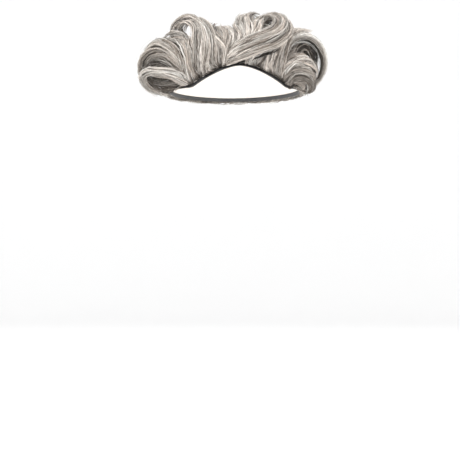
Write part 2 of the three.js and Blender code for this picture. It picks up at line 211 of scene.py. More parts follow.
RIGHT_SWOOP = [
    (-9, 0.93, -58, 61, 1.2, 1.0, 0.6,
     [(0.07, 98, -17), (0.11, 28, -30), (0.24, 0, -34),
      (0.11, -30, -15), (0.11, -67, -12), (0.13, -70, 19)]),
    (-10, 0.9, -31, 61, 1.1, 0.9, 0.5,
     [(0.09, 65, -19), (0.1, 30, -30), (0.2, 0, -30), (0.1, -30, -17), (0.08, -75, -7), (0.12, -85, 28)]),
]

CENTRE_WAVES = [
    (-15, 0.9, -75, 29, 1.2, 0.8, 0.7,
     [(0.05, 70, 8), (0.08, 5, -35), (0.08, -38, -29), (0.07, 18, -15), (0.12, 80, 4)]),
    (-11, 0.86, -60, 39, 1.1, 0.9, 0.6,
     [(0.06, 65, -7), (0.08, 27, -36), (0.1, -5, -21), (0.08, -32, -13), (0.11, 60, -5)]),
    (-7, 0.84, -30, 53, 1.1, 0.9, 0.6,
     [(0.07, 62, -18), (0.09, 12, -35), (0.09, -17, -22),
      (0.08, -40, -17), (0.07, 43, -9), (0.12, 95, 15)]),
]

FRONT_ROOTS = [
    (3, 0.91, 70, 67, 0.9, 0.6, 0.8, [(0.04, -34, -17), (0.1, -11, -50)]),
    (12, 0.91, 47, 44, 1.0, 0.6, 0.8, [(0.05, -20, -9), (0.11, -17, -35)]),
    (22, 0.91, 55, 40, 1.1, 0.7, 0.9, [(0.05, -27, -9), (0.14, -10, -30)]),
    (31, 0.91, 30, 26, 1.2, 0.8, 0.6,
     [(0.05, -11, -5), (0.1, 0, -17), (0.09, 15, -25), (0.09, 22, -12), (0.18, 50, 1)]),
]

RIGHT_LOOP = [
    (40, 0.86, 17, 9, 0.8, 2.2, 0.7,
     [(0.09, -5, -1), (0.1, 12, -15), (0.1, 38, -18), (0.17, 65, 5), (0.18, 50, 12), (0.15, 45, 0)]),
]

RIGHT_TEMPLE_CURL = [
    (41, 0.92, 15, 27, 0.9, 0.9, 0.7, [(0.1, 12, -3), (0.08, 28, -19), (0.14, 80, -40), (0.15, 35, 5)]),
    (42, 0.94, 19, 30, 0.9, 0.9, 0.6, [(0.09, 12, 1), (0.08, 32, -15), (0.13, 75, -50), (0.14, 45, -6)]),
    (44, 0.95, 20, 37, 0.9, 0.9, 0.6, [(0.07, 17, 0), (0.07, 38, -17), (0.13, 72, -56), (0.12, 60, 5)]),
    (47, 0.95, 50, 35, 0.9, 0.9, 0.6, [(0.06, 25, -20), (0.07, 50, -28), (0.06, 60, -19), (0.08, 90, 0)]),
]

LEFT_TEMPLE_CURL = [
    (-54, 0.95, -25, 20, 0.6, 2.0, 0.6,
     [(0.1, -3, -10), (0.11, -12, -15), (0.1, -45, -14), (0.15, -80, 9), (0.16, -60, 5), (0.14, -25, -2)]),
    (-55, 0.93, -31, 27, 1.1, 0.9, 0.7,
     [(0.07, -8, -10), (0.1, -20, -15), (0.17, -72, -22), (0.07, -19, -2)]),
    (-54, 0.95, -40, 29, 1.1, 0.7, 0.5,
     [(0.08, -20, -3), (0.09, -22, -16), (0.15, -15, -36), (0.06, -15, -12)]),
    (-62, 0.95, -100, -7, 1.5, 0.7, 0.7, [(0.1, 5, 0), (0.16, 45, 15)]),
]

CROWN_CURLS = [
    (22, 0.46, 12, 22, 1.1, 0.9, 0.5, [(0.1, 5, -12), (0.11, -28, -18), (0.13, 85, -40)]),
    (44, 0.5, 16, 22, 1.1, 0.9, 0.5, [(0.12, -5, -12), (0.12, 10, -18), (0.13, -85, -40)]),
]


# Locks read from the photograph. Each row holds the root's turn and down, the lock's width and
# depth in millimetres, the share left at the tip, the count of its strands and their light, the
# places that it passes, and what else comb_lock takes. A place is the photograph's pixel across
# and down, and the depth along Y in millimetres.

LONG = {"stations": CURL_STATIONS}
TEASED_OUT = {"loose": 0.06, "spread": (7, 0.1)}
SHELTERED = {"tight": 0.6, "loose": 0.0}
TRACED_LOCKS = {
    # Left temple
    "light_band": (
        -52, 0.96, 8, 7, 0.6, 220, 0.68,
        [(181, 77, -66), (171, 72.5, -70), (159, 71, -70), (149, 71.5, -66), (142.5, 75, -60),
         (142.5, 82, -54), (148, 89, -50), (156, 93.5, -47), (163, 96, -44)],
        {"tight": 0.7, **LONG}),
    "band_low": (
        -54, 0.97, 7, 6, 0.7, 150, 0.7,
        [(184, 83, -64), (176, 78.5, -68), (167, 75.5, -69), (157, 74, -67), (148, 73, -63),
         (143, 75, -59)],
        {"tight": 0.7, "spread": (7, 0.04)}),
    "grey_fan": (
        -50, 0.93, 9, 8, 0.6, 150, 0.5,
        [(178, 70, -66), (168, 60, -66), (157, 57, -62), (148, 61, -57), (144, 68, -53)],
        {}),
    "over_ribbon": (
        -47, 0.9, 10, 9, 0.5, 210, 0.68,
        [(186, 72, -66), (180, 59, -67), (172, 49.5, -63), (163, 43.5, -57), (154, 43.5, -51),
         (147, 50, -48), (142.5, 59, -47), (140.5, 69, -46)],
        {"tight": 0.7, **LONG}),
    # inner_roll, cavity_back, cavity and hollow have a low light as painted shade inside the curl
    "inner_roll": (
        -70, 0.9, 13, 8, 0.7, 190, 0.42,
        [(166, 72, -40), (156, 69, -36), (148, 72, -35), (147.5, 79, -37), (152, 86, -40),
         (160, 93, -42)],
        {"tight": 0.6}),
    "cavity_back": (
        -68, 0.92, 13, 6, 0.8, 115, 0.36,
        [(174, 73, -40), (165, 76, -35), (157, 80, -34), (150, 84, -36), (146, 86, -38)],
        {}),
    "cavity": (
        -66, 0.96, 9, 6, 0.8, 90, 0.1,
        [(173, 79, -40), (167, 82, -37), (164, 88, -36), (162, 94, -37)],
        {}),
    "hollow": (
        -50, 0.8, 12, 8, 0.6, 120, 0.14,
        [(180, 62, -50), (170, 52, -48), (162, 47, -46), (153, 50, -44), (147, 57, -42)],
        {}),
    "stray": (
        -48, 0.85, 1.5, 1.5, 0.6, 12, 0.3,
        [(183, 62, -60), (172, 46, -56), (163, 39, -52), (156, 37.5, -50), (152, 42, -49),
         (151, 47, -48)],
        {"tight": 0.3}),
    # Quiff
    "shoulder": (
        -41, 0.88, 7, 7, 0.6, 130, 0.67,
        [(189, 58, -64), (186, 46, -62), (181, 37, -58), (175, 33, -55), (169, 35, -54),
         (164, 40, -54)],
        {"loose": 0.01}),
    "under_curl": (
        -40, 0.9, 11, 8, 0.5, 175, 0.72,
        [(190, 68, -72), (188, 52, -75), (185, 42, -72), (179, 38, -66), (171, 39, -60),
         (165, 42, -56)],
        {"loose": 0.01, "reach": (0.85, 1.03)}),
    "outer_edge": (
        -27, 0.9, 8, 8, 0.7, 180, 0.64,
        [(205, 66, -78), (206, 50, -82), (205, 36, -76), (201, 24, -68), (193, 17, -60),
         (184, 17.5, -55), (178, 23.5, -52), (175.5, 31, -51), (172, 38, -52)],
        {"reach": (0.88, 1.0), **LONG}),
    "inner_turn": (
        -36, 0.88, 5, 7, 0.7, 130, 0.6,
        [(199, 60, -66), (199.5, 45, -66), (199, 33, -62), (194.5, 23.5, -58), (187.5, 20, -55),
         (181, 23, -53), (178.5, 30, -53), (177, 39, -54)],
        {"tight": 0.7, "reach": (0.9, 1.0)}),
    "below_hole": (
        -38, 0.88, 8, 7, 0.6, 110, 0.66,
        [(191, 60, -60), (189, 48, -58), (187.5, 40, -56), (184.5, 34.5, -54), (179, 32.5, -52)],
        {"tight": 0.7}),
    # crescent: a darker lock as painted shade on the inside of the quiff's curl
    "crescent": (
        -38, 0.85, 7, 8, 0.7, 110, 0.46,
        [(191, 52, -58), (188, 41, -56), (183.5, 37, -53), (180.5, 31, -51), (180.5, 25, -50),
         (183, 21, -51)],
        {"tight": 0.6, "reach": (0.92, 1.03)}),
    # Centre waves
    "pale_band": (
        -13, 0.93, 6, 6, 0.7, 110, 0.86,
        [(226, 58, -78), (224, 47, -82), (217, 38, -78), (210, 33.5, -70), (205, 31, -60)],
        {"tight": 0.6}),
    "wave_over": (
        -13, 0.9, 8, 7, 0.5, 130, 0.66,
        [(226, 57, -77), (224, 47, -79), (226, 38, -75), (224, 31, -68), (217, 27.5, -60),
         (209, 29, -54)],
        {}),
    "wave_middle": (
        -12, 0.92, 8, 7, 0.5, 130, 0.72,
        [(228, 58, -79), (230, 48, -83), (234, 40, -80), (234, 33, -75), (229, 27, -68),
         (221, 25.5, -60)],
        {}),
    "mound_face": (
        -3, 0.92, 8, 8, 0.6, 140, 0.74,
        [(236, 55, -80), (247, 46, -80), (253, 37, -78), (255, 29, -74), (256, 22, -68),
         (260, 18.5, -62), (266, 18.5, -58)],
        {}),
    "wave_left": (
        -10, 0.93, 7, 7, 0.6, 130, 0.74,
        [(229, 58, -80), (236, 48, -84), (240.5, 40, -82), (240, 33, -78), (236, 27, -72),
         (234, 22, -64)],
        {}),
    "wave_right": (
        -8, 0.92, 8, 8, 0.6, 150, 0.74,
        [(231, 57, -81), (241, 47, -86), (248, 39, -84), (249, 31, -78), (246, 23, -70), (245, 17, -62),
         (250, 15, -54)],
        {}),
    "wave_far": (
        -5, 0.92, 8, 7, 0.6, 150, 0.72,
        [(234, 56, -82), (246, 46, -86), (255, 37, -84), (260, 29, -78), (261, 22, -70),
         (266, 17.5, -62), (273, 17, -58)],
        {}),
    # Crown behind the front locks
    "mound": (
        0, 0.6, 9, 10, 0.6, 100, 0.76,
        [(240, 44, -66), (238, 34, -68), (238, 25, -66), (241.5, 18, -62), (247, 16, -58),
         (252, 18.5, -56), (253, 24, -56), (249, 29, -57)],
        TEASED_OUT),
    "mound_left": (
        -4, 0.62, 8, 8, 0.5, 100, 0.76,
        [(238, 42, -58), (237, 33, -55), (235, 26, -50), (237, 21, -46), (242, 19.5, -43)],
        TEASED_OUT),
    "mound_right": (
        8, 0.6, 10, 11, 0.6, 100, 0.76,
        [(256, 38, -58), (256, 28, -55), (258, 21.5, -50), (264, 19.5, -46), (269, 24, -44)],
        TEASED_OUT),
    # behind_eye: a dark lock as painted shade behind the swoop's curl
    "behind_eye": (
        26, 0.6, 17, 10, 0.8, 100, 0.26,
        [(261, 42, -54), (261, 31, -50), (265, 23, -47), (271, 20.5, -45), (278, 22, -44)],
        TEASED_OUT),
    "arch": (
        8, 0.6, 1.6, 1.6, 0.7, 12, 0.7,
        [(252, 30, -52), (254, 20, -50), (258.5, 15.4, -50), (264, 15.6, -50), (269, 19, -50)],
        {}),
    "under_eye": (
        14, 0.66, 9, 9, 0.6, 100, 0.76,
        [(258, 40, -64), (259, 31, -66), (264, 27, -66), (271, 29, -66), (277, 26, -64),
         (279, 21, -60)],
        TEASED_OUT),
    "top_curl": (
        20, 0.55, 9, 10, 0.6, 100, 0.76,
        [(284, 36, -50), (286, 27, -46), (280, 19.5, -42), (272, 16.5, -40)],
        TEASED_OUT),
    "top_right": (
        30, 0.6, 9, 10, 0.6, 100, 0.88,
        [(286, 45, -58), (290, 33, -54), (297, 30, -53), (305, 32.5, -49), (312, 37.5, -46)],
        TEASED_OUT),
    # Swoop
    "swoop_outer": (
        -8, 0.95, 7, 7, 0.6, 260, 0.64,
        [(231, 62, -84), (244, 56, -90), (260, 50, -94), (275, 45.5, -92), (287, 37, -84),
         (291, 28.5, -74), (286, 20, -66), (276, 16.5, -60), (268, 17, -56)],
        # lit paints the lock's right edge darker as painted shade
        {"tight": 0.6, "lit": (1.08, 0.55), **LONG}),
    # swoop_eye: dark strands as painted shade in the eye of the swoop's curl
    "swoop_eye": (
        15, 0.7, 5, 6, 0.7, 90, 0.16,
        [(270, 34, -58), (272, 28, -58), (270.5, 23, -58), (267, 22, -57), (265, 25, -56)],
        {}),
    # Inside the loop. depth_top, depth_low and depth_high are near-black strands as painted shade deep in
    # the loop
    "depth_top": (
        46, 0.82, 9, 10, 0.8, 140, 0.1,
        [(292, 54, -50), (297, 44, -48), (304, 42.5, -46), (311, 47, -44), (316, 54, -42),
         (317.5, 61, -41)],
        SHELTERED),
    "loop_beige": (
        42, 0.86, 8, 8, 0.6, 120, 0.42,
        [(290, 62, -56), (292, 52, -56), (295, 45, -54), (300, 41, -52)],
        {}),
    "depth_low": (
        48, 0.8, 10, 9, 0.6, 150, 0.1,
        [(297, 58, -48), (299, 49, -46), (306, 45, -45), (313, 50, -43), (316, 58, -41),
         (315, 66, -41)],
        SHELTERED),
    "depth_high": (
        50, 0.78, 9, 9, 0.6, 130, 0.08,
        [(302, 60, -44), (304, 54, -43), (308, 52, -42), (312, 57, -41), (313, 64, -40),
         (311, 72, -41)],
        SHELTERED),
    "crossing": (
        45, 0.88, 1.8, 1.8, 0.8, 9, 0.66,
        [(297, 60, -63), (301, 53, -62), (305, 48.5, -61), (308.5, 52, -60), (311, 59, -58)],
        {"tight": 0.5}),
    "crossing_high": (
        46, 0.86, 1.3, 1.3, 0.8, 6, 0.6,
        [(296, 52, -60), (302, 45, -59), (307.5, 44, -58), (311, 49, -57), (312.5, 57, -56)],
        {"tight": 0.5}),
    # Hairline under the swoop
    "column": (
        36, 0.92, 9, 8, 0.8, 150, 0.74,
        [(279.5, 74, -72), (281.5, 64, -77), (284, 54, -78), (285.5, 45, -75), (290, 37, -69),
         (297, 31, -62)],
        {}),
    "upright": (
        28, 0.93, 8, 7, 0.8, 120, 0.76,
        [(268, 66, -79), (270, 60, -82), (273, 54, -82), (277, 48.5, -79), (282, 43, -74)],
        {}),
    "upright_low": (
        11, 0.93, 9, 7, 0.8, 120, 0.72,
        [(248, 60, -83), (250, 57, -86), (254, 54, -86), (260, 51.5, -84), (267, 49, -80)],
        {}),
    # shade: near-black strands as a painted shadow under the swoop's lower edge
    "shade": (
        8, 0.85, 5, 6, 0.8, 110, 0.03,
        [(240, 60.5, -80), (250, 58, -82), (260, 55, -84), (271, 52, -84), (282, 46.5, -78)],
        {"tight": 0.4}),
    # Right temple
    "fan_top": (
        40, 0.93, 7, 7, 0.6, 150, 0.72,
        [(284, 71, -72), (289, 65, -78), (298, 60, -76), (307, 61, -70), (313.5, 67, -62),
         (316, 76, -56)],
        {}),
    "roll": (
        47, 0.96, 8, 8, 0.5, 180, 0.7,
        [(290, 84, -66), (294, 78, -70), (302, 76.5, -71), (310, 81, -68), (313, 88, -64),
         (308, 92.5, -60), (300, 91, -57)],
        # lit paints the inner side of the roll darker as painted shade
        {"tight": 0.6, "lit": (1.0, 0.45), **LONG}),
    # roll_eye: dark strands as painted shade in the eye of the roll
    "roll_eye": (
        46, 0.96, 5, 4, 0.8, 70, 0.06,
        [(290, 88, -60), (293, 84.5, -61), (297, 83.5, -62), (301, 85, -62)],
        {"tight": 0.5}),
    "wall": (
        50, 0.9, 5, 9, 0.6, 100, 0.45,
        [(300, 74, -56), (307, 64, -54), (313.5, 63, -50), (315.5, 70, -48), (314.5, 79, -46)],
        {}),
    "tips": (
        50, 0.97, 2.5, 2.5, 0.8, 16, 0.6,
        [(300, 89, -60), (305, 92, -59), (308.5, 94.5, -58), (309.5, 98, -57)],
        {}),
}


def heading(lean, fore):
    """lean tips a lock sideways from straight up, and fore tips it to the front."""
    lean, fore = np.radians(lean), np.radians(fore)
    return np.stack([np.sin(lean) * np.cos(fore), -np.sin(fore), np.cos(lean) * np.cos(fore)], -1)


def girth(share, tip):
    """The share of its width that a lock has along its length."""
    return mix(ROOT_GIRTH, 1, smooth(share, 0, FULL_FROM)) * mix(1, tip, smooth(share, FULL_TO, 1))


def guide_of(row):
    """A lock's centre line with its frame and half widths, at even shares of its length."""
    turn, down, lean, fore, broad, deep, tip, bends = row
    runs = np.array([run for run, _, _ in bends])
    ends = np.concatenate([[0], np.cumsum(runs)])
    leans = lean + np.concatenate([[0], np.cumsum([swing for _, swing, _ in bends])])
    fores = fore + np.concatenate([[0], np.cumsum([pitch for _, _, pitch in bends])])
    share = np.linspace(0, 1, GUIDE_STATIONS)
    done = share * ends[-1]
    ahead = heading(np.interp(done, ends, leans), np.interp(done, ends, fores))
    halfway = (done[1:] + done[:-1]) / 2
    steps = heading(np.interp(halfway, ends, leans), np.interp(halfway, ends, fores))
    steps = steps * (ends[-1] * HAIR_LENGTH / (GUIDE_STATIONS - 1))
    start = on_head(turn, down, BASE_WALL + BACKING_WALL * ROOT_SHARE)
    place = start + np.concatenate([np.zeros((1, 3)), np.cumsum(steps, 0)])
    across = carried(ahead)
    which = np.clip(np.searchsorted(ends, done, "right") - 1, 0, len(bends) - 1)
    swings = np.radians([abs(swing) for _, swing, _ in bends]) / (runs * HAIR_LENGTH)
    pitches = np.radians([abs(pitch) for _, _, pitch in bends]) / (runs * HAIR_LENGTH)
    wide = girth(share, tip) * LOCK_WIDTH / 2
    return {
        "place": place,
        "ahead": ahead,
        "across": across,
        "through": np.cross(ahead, across),
        "broad": softened(np.minimum(wide * broad, BEND_LIMIT / np.maximum(swings[which], 1e-6))),
        "deep": softened(np.minimum(wide * deep, BEND_LIMIT / np.maximum(pitches[which], 1e-6))),
        "length": ends[-1] * HAIR_LENGTH,
        "turn": turn,
        "down": down,
    }


def seen_at(across, down, depth):
    """The point that the photograph shows at this pixel, at this depth along Y."""
    middle = PHOTO_PIXELS / 2
    ray = TO_OBJECT @ np.array([
        (across - middle) * METRES_PER_PIXEL / VIEW_DISTANCE,
        1,
        (middle - down) * METRES_PER_PIXEL / VIEW_DISTANCE,
    ])
    return CAMERA_PLACE + ray * (depth - CAMERA_PLACE[1]) / ray[1]


def traced_guide(row):
    """A lock's centre line on a smooth curve from its root through the places that it passes."""
    turn, down, width, depth, tip, _, _, places, _ = row
    knots = [on_head(turn, down, BASE_WALL + BACKING_WALL * ROOT_SHARE)]
    knots += [seen_at(across, low, far / 1000) for across, low, far in places]
    knots = np.array(knots)
    padded = np.concatenate([[2 * knots[0] - knots[1]], knots, [2 * knots[-1] - knots[-2]]])
    line = []
    for k in range(len(knots) - 1):
        a, b, c, d = padded[k:k + 4]
        t = np.linspace(0, 1, 40, endpoint=False)[:, None]
        square = 2 * a - 5 * b + 4 * c - d
        cube = 3 * b - a - 3 * c + d
        line.append(0.5 * (2 * b + (c - a) * t + square * t**2 + cube * t**3))
    line = np.concatenate([*line, knots[-1:]])
    run = np.concatenate([[0], np.linalg.norm(np.diff(line, axis=0), axis=1).cumsum()])
    share = np.linspace(0, 1, GUIDE_STATIONS)
    place = np.stack([np.interp(share * run[-1], run, line[:, k]) for k in range(3)], -1)
    ahead = unit(np.gradient(place, axis=0))
    across = carried(ahead)
    wide = girth(share, tip) / 2000
    return {
        "place": place,
        "ahead": ahead,
        "across": across,
        "through": np.cross(ahead, across),
        "broad": wide * width,
        "deep": wide * depth,
        "length": run[-1],
        "turn": turn,
        "down": down,
    }


def carried(ahead):
    """The sideways axis of a lock, carried along its headings without a twist."""
    across = np.empty_like(ahead)
    side = unit(np.cross(ahead[0], [0, -1, 0]))
    for k in range(len(ahead)):
        side = unit(side - (side @ ahead[k]) * ahead[k])
        across[k] = side
    return across


def softened(values):
    """A running mean, so that a limit sets in gently along a lock."""
    window = 9
    padded = np.pad(values, window // 2, mode="edge")
    return np.convolve(padded, np.ones(window) / window, mode="valid")


def along_guide(guide, key, shares):
    spot = np.clip(shares, 0, 1) * (GUIDE_STATIONS - 1)
    low = np.minimum(spot.astype(int), GUIDE_STATIONS - 2)
    part = spot - low
    values = guide[key]
    part = part[..., None] if values.ndim == 2 else part
    return values[low] * (1 - part) + values[low + 1] * part


def slimmer(guide, broad, deep):
    """The guide of a lock with these shares of its width and depth."""
    return {**guide, "broad": guide["broad"] * broad, "deep": guide["deep"] * deep}


def blended(first, second, share):
    """A guide between two neighbours."""
    made = {key: mix(first[key], second[key], share) for key in first}
    made["ahead"] = unit(made["ahead"])
    made["across"] = unit(made["across"])
    made["through"] = np.cross(made["ahead"], made["across"])
    return made


# Strands


class Strands:
    """Paths of strands gathered for one piece, with each strand's tone and warmth."""

    def __init__(self, seed):
        self.rng = np.random.default_rng(seed)
        self.groups = []

    def add(self, paths, tones, tip_shade=1.0, warmth=None):
        """tip_shade is the share of its tone that a strand keeps at its tip, as painted shade for short
        strands under the locks over them.
        """
        share = np.linspace(0, 1, paths.shape[1])[None, :]
        tones = np.clip(tones[:, None] * mix(1, tip_shade, smooth(share, 0.3, 1)), 0, 1)
        warmth = self.rng.random(len(paths)) if warmth is None else warmth
        self.groups.append((paths, tones, np.repeat(warmth[:, None], paths.shape[1], 1)))


def strand_tones(rng, count, light):
    """Salt and pepper: most strands are pale round a mean, and a share of them are dark."""
    tones = light + rng.normal(0, TONE_SPREAD, count)
    dark = rng.random(count) < DARK_SHARE
    return np.where(dark, tones * rng.uniform(*DARK_TONES, count), tones)


def comb_lock(strands, guide, count, light=0.66, spread=(5.0, 0.07), loose=0.03, reach=(0.78, 1.03),
              tight=1.0, lit=(1.0, 1.0), lit_turn=0.0, stations=STRAND_STATIONS):
    """Strands in clumps along a guide. They root over a patch of the base and draw together. lit
    holds the shares of their tone that the strands of the lock's left and right edge keep, as painted
    shade on the side of a curl turned from the light; lit_turn turns these edges round the lock in degrees."""
    rng = strands.rng
    clumps = max(3, count // CLUMP_SIZE)
    clump = rng.integers(0, clumps, count)
    radius = np.sqrt(rng.random(clumps)) * 0.92
    angle = rng.random(clumps) * 2 * np.pi
    twist = rng.normal(0, 0.7 * tight, clumps)
    clump_reach = rng.uniform(*reach, clumps)
    # Painted shade: the clump's tone falls towards the lock's shaded edge
    to_right = smooth(radius * np.cos(angle - math.radians(lit_turn)), -0.5, 0.5)
    clump_tone = (light + rng.normal(0, CLUMP_TONE_SPREAD, clumps)) * mix(*lit, to_right)
    wave_size = rng.uniform(0.0004, 0.0013, clumps) * tight
    wave_count = rng.uniform(1.2, 2.6, clumps)
    wave_start = rng.random(clumps) * 2 * np.pi

    ends = clump_reach[clump] * rng.uniform(0.9, 1.03, count)
    share = np.linspace(0, 1, stations)[None, :] * ends[:, None]
    turned = (angle[clump] + rng.normal(0, 0.1, count))[:, None] + twist[clump][:, None] * share
    inner = radius[clump][:, None]
    apart = rng.normal(0, 0.2, (2, count, 1)) * mix(1.2, 0.45, smooth(share, 0, 0.9))
    astray = (rng.random(count) < loose)[:, None] * smooth(share, 0.3, 1)
    astray = astray * rng.uniform(0.2, 0.7, (count, 1))
    u = np.cos(turned) * (inner + astray) + apart[0]
    v = np.sin(turned) * (inner + astray) + apart[1]

    phase = 2 * np.pi * wave_count[clump][:, None] * share + wave_start[clump][:, None]
    fine = 2 * np.pi * rng.uniform(3, 6, (count, 1)) * share + rng.random((count, 1)) * 2 * np.pi
    grown = smooth(share, 0, 0.35)
    sway = (wave_size[clump][:, None] * np.sin(phase) + FRIZZ * np.sin(fine)) * grown
    heave = (wave_size[clump][:, None] * np.cos(phase) + FRIZZ * np.cos(fine)) * grown

    place = along_guide(guide, "place", share)
    over = np.maximum(share - 1, 0)[..., None] * guide["length"]
    place = place + along_guide(guide, "ahead", share) * over
    across = u * along_guide(guide, "broad", share) + sway
    through = v * along_guide(guide, "deep", share) + heave
    paths = place + along_guide(guide, "across", share) * across[..., None]
    paths = paths + along_guide(guide, "through", share) * through[..., None]

    turns = guide["turn"] + u[:, 0] * spread[0] + rng.normal(0, spread[0] * 0.15, count)
    downs = guide["down"] - v[:, 0] * spread[1] + rng.normal(0, spread[1] * 0.2, count)
    roots = on_head(turns, np.clip(downs, 0.3, LOWEST_ROOT), BASE_WALL)
    settled = smooth(share, 0, 0.22)[..., None]
    paths = paths + (roots - paths[:, 0])[:, None] * (1 - settled)
    strands.add(paths, strand_tones(rng, count, clump_tone[clump]), warmth=rng.random(clumps)[clump])


def comb_between(strands, first, second, count, rows=4, **options):
    """Locks blended between two neighbouring guides."""
    for share in (np.arange(rows) + 0.5) / rows:
        comb_lock(strands, blended(first, second, share), count // rows, **options)


def flyaways(strands, *guides):
    """A few pale strands that stray outside each lock."""
    for guide in guides:
        comb_lock(strands, slimmer(guide, 1.2, 1.2), FLYAWAYS_PER_LOCK, light=0.95, loose=0.8, tight=1.6)


def undercoat(strands, guides, turns, downs, count, length, light=0.55, tip_shade=1.0):
    """Short strands over a stretch of the base, which start out as the nearest guides do."""
    rng = strands.rng
    turn = rng.uniform(*turns, count)
    down = mix(downs[0], downs[1], np.sqrt(rng.random(count)))
    share = np.linspace(0, 1, SHORT_STATIONS)[None, :]
    reach = rng.uniform(*length, count)
    starts = np.array([guide["turn"] for guide in guides])
    away = np.abs(starts[None, :] - turn[:, None]) + rng.random((count, len(guides))) * 4
    nearest = np.argmin(away, 1)
    paths = np.empty((count, SHORT_STATIONS, 3))
    for k, guide in enumerate(guides):
        own = nearest == k
        shares = share * (reach[own] / guide["length"])[:, None]
        line = along_guide(guide, "place", shares) - guide["place"][0]
        root = on_head(turn[own], down[own], BASE_WALL)
        outward = head_normal(root)[:, None] * UNDERCOAT_STAND
        paths[own] = root[:, None] + line + outward * smooth(shares, 0, 0.1)[..., None]
    sway = rng.normal(0, 0.0007, (count, 1, 3)) * share[..., None] ** 1.3
    strands.add(paths + sway, strand_tones(rng, count, light + rng.normal(0, 0.05, count)), tip_shade)


def rim_fringe(strands, turns, count, light=0.54):
    """Short strands that lie down and back over the edge, from behind the front corners round."""
    rng = strands.rng
    turn = rng.uniform(*turns, count)
    down = rng.uniform(0.8, 0.975, count)
    share = np.linspace(0, 1, SHORT_STATIONS)[None, :]
    reach = rng.uniform(*FRINGE_LENGTHS, count)[:, None] * share
    sign = np.where((turn % 360) > 180, -1, 1)[:, None]
    back = sign * np.degrees(reach / (HEAD_BREADTH / 2)) * 0.8
    lowest = rng.uniform(0.99, 1.045, (count, 1))
    lower = np.minimum(down[:, None] + reach / CROWN_TO_RIM, lowest)
    lift = BASE_WALL + smooth(share, 0, 0.5) * rng.uniform(*FRINGE_LIFTS, (count, 1))
    strands.add(on_head(turn[:, None] + back, lower, lift), strand_tones(rng, count, light))


# Hair that is combed back over the crown, the sides and the back


def crown_lift(side, along):
    """How far the top of the combed hair stands off the head."""
    sides = np.interp(np.abs(side), [0, 0.44, 0.62, 0.82, 0.95], [1, 0.95, 0.5, 0.42, 0.3])
    back = np.interp(along, [-0.6, 0.2, 0.6, 0.9, 1.1], [1, 1, 0.62, 0.34, 0.2])
    return CROWN_LOFT * np.minimum(sides, 1) * back


def comb_back(strands, count, sides, starts, lengths, light=0.55):
    """Wavy strands that rise from the base and lie back over the head, in clumps."""
    rng = strands.rng
    clumps = max(4, count // COMBED_CLUMP_SIZE)
    clump = rng.integers(0, clumps, count)
    side0 = rng.uniform(*sides, clumps)[clump] + rng.normal(0, 0.027, count)
    start = rng.uniform(*starts, clumps)[clump] + rng.normal(0, 0.03, count)
    length = rng.uniform(*lengths, clumps)[clump] * rng.uniform(0.85, 1.05, count)
    layer = rng.uniform(*LAYERS, clumps)[clump] + rng.normal(0, 0.05, count)
    tone = light + rng.normal(0, CLUMP_TONE_SPREAD, clumps)[clump]
    offset = rng.normal(0, 0.7, clumps)[clump] + rng.normal(0, 0.12, count)
    drift = rng.normal(0, 0.05, clumps)[clump]
    share = np.linspace(0, 1, COMBED_STATIONS)[None, :]
    arc = HEAD_DEPTH / 2 * 1.12
    run = share * length[:, None]
    along = np.minimum(start[:, None] + run / arc, 1.02)
    near = side0[:, None] * 9 + offset[:, None]
    phase = 2 * np.pi * run / WAVE_LENGTH + near
    size = smooth(share, 0.05, 0.45)
    side = side0[:, None] + drift[:, None] * share + WAVE_SIDE * size * np.sin(phase)
    side = np.clip(side, -WIDEST_SIDE, WIDEST_SIDE)
    rise = smooth(run, 0, 0.03)
    droop = mix(1.0, 0.8, smooth(share, 0.6, 1))
    top = crown_lift(side, along) * layer[:, None] * droop
    lift = BASE_WALL + top * rise + WAVE_RISE * size * np.cos(phase)
    lift = np.maximum(lift, BASE_WALL + LEAST_LIFT * rise)
    strands.add(on_combing(side, along, lift), strand_tones(rng, count, tone))


def comb_side(strands, count, turns, downs, light=0.55):
    """Strands over the ears, combed back and down."""
    rng = strands.rng
    clumps = max(4, count // COMBED_CLUMP_SIZE)
    clump = rng.integers(0, clumps, count)
    sign = np.sign(turns[0])
    turn = rng.uniform(*sorted(turns), clumps)[clump] + rng.normal(0, 1.6, count)
    down = rng.uniform(*downs, clumps)[clump] + rng.normal(0, 0.02, count)
    sweep = rng.uniform(22, 44, clumps)[clump] * rng.uniform(0.9, 1.05, count)
    fall = rng.uniform(0.12, 0.35, clumps)[clump]
    layer = rng.uniform(0.3, 1.0, clumps)[clump] + rng.normal(0, 0.06, count)
    tone = light + rng.normal(0, CLUMP_TONE_SPREAD, clumps)[clump]
    offset = rng.normal(0, 0.7, clumps)[clump] + rng.normal(0, 0.12, count)
    share = np.linspace(0, 1, COMBED_STATIONS)[None, :]
    phase = 2 * np.pi * share * 1.25 + offset[:, None] + down[:, None] * 9
    size = smooth(share, 0.05, 0.45)
    turned = turn[:, None] + sign * sweep[:, None] * share
    lower = down[:, None] + fall[:, None] * share**1.4 + SIDE_WAVE_DOWN * size * np.sin(phase)
    top = SIDE_LOFT * layer[:, None] * mix(1, 0.5, share)
    lift = BASE_WALL + top * smooth(share, 0, 0.35) + SIDE_WAVE_RISE * size * np.cos(phase)
    lift = np.maximum(lift, BASE_WALL + LEAST_LIFT)
    lower = np.clip(lower, 0.05, LOWEST_TIP)
    strands.add(on_head(turned, lower, lift), strand_tones(rng, count, tone))


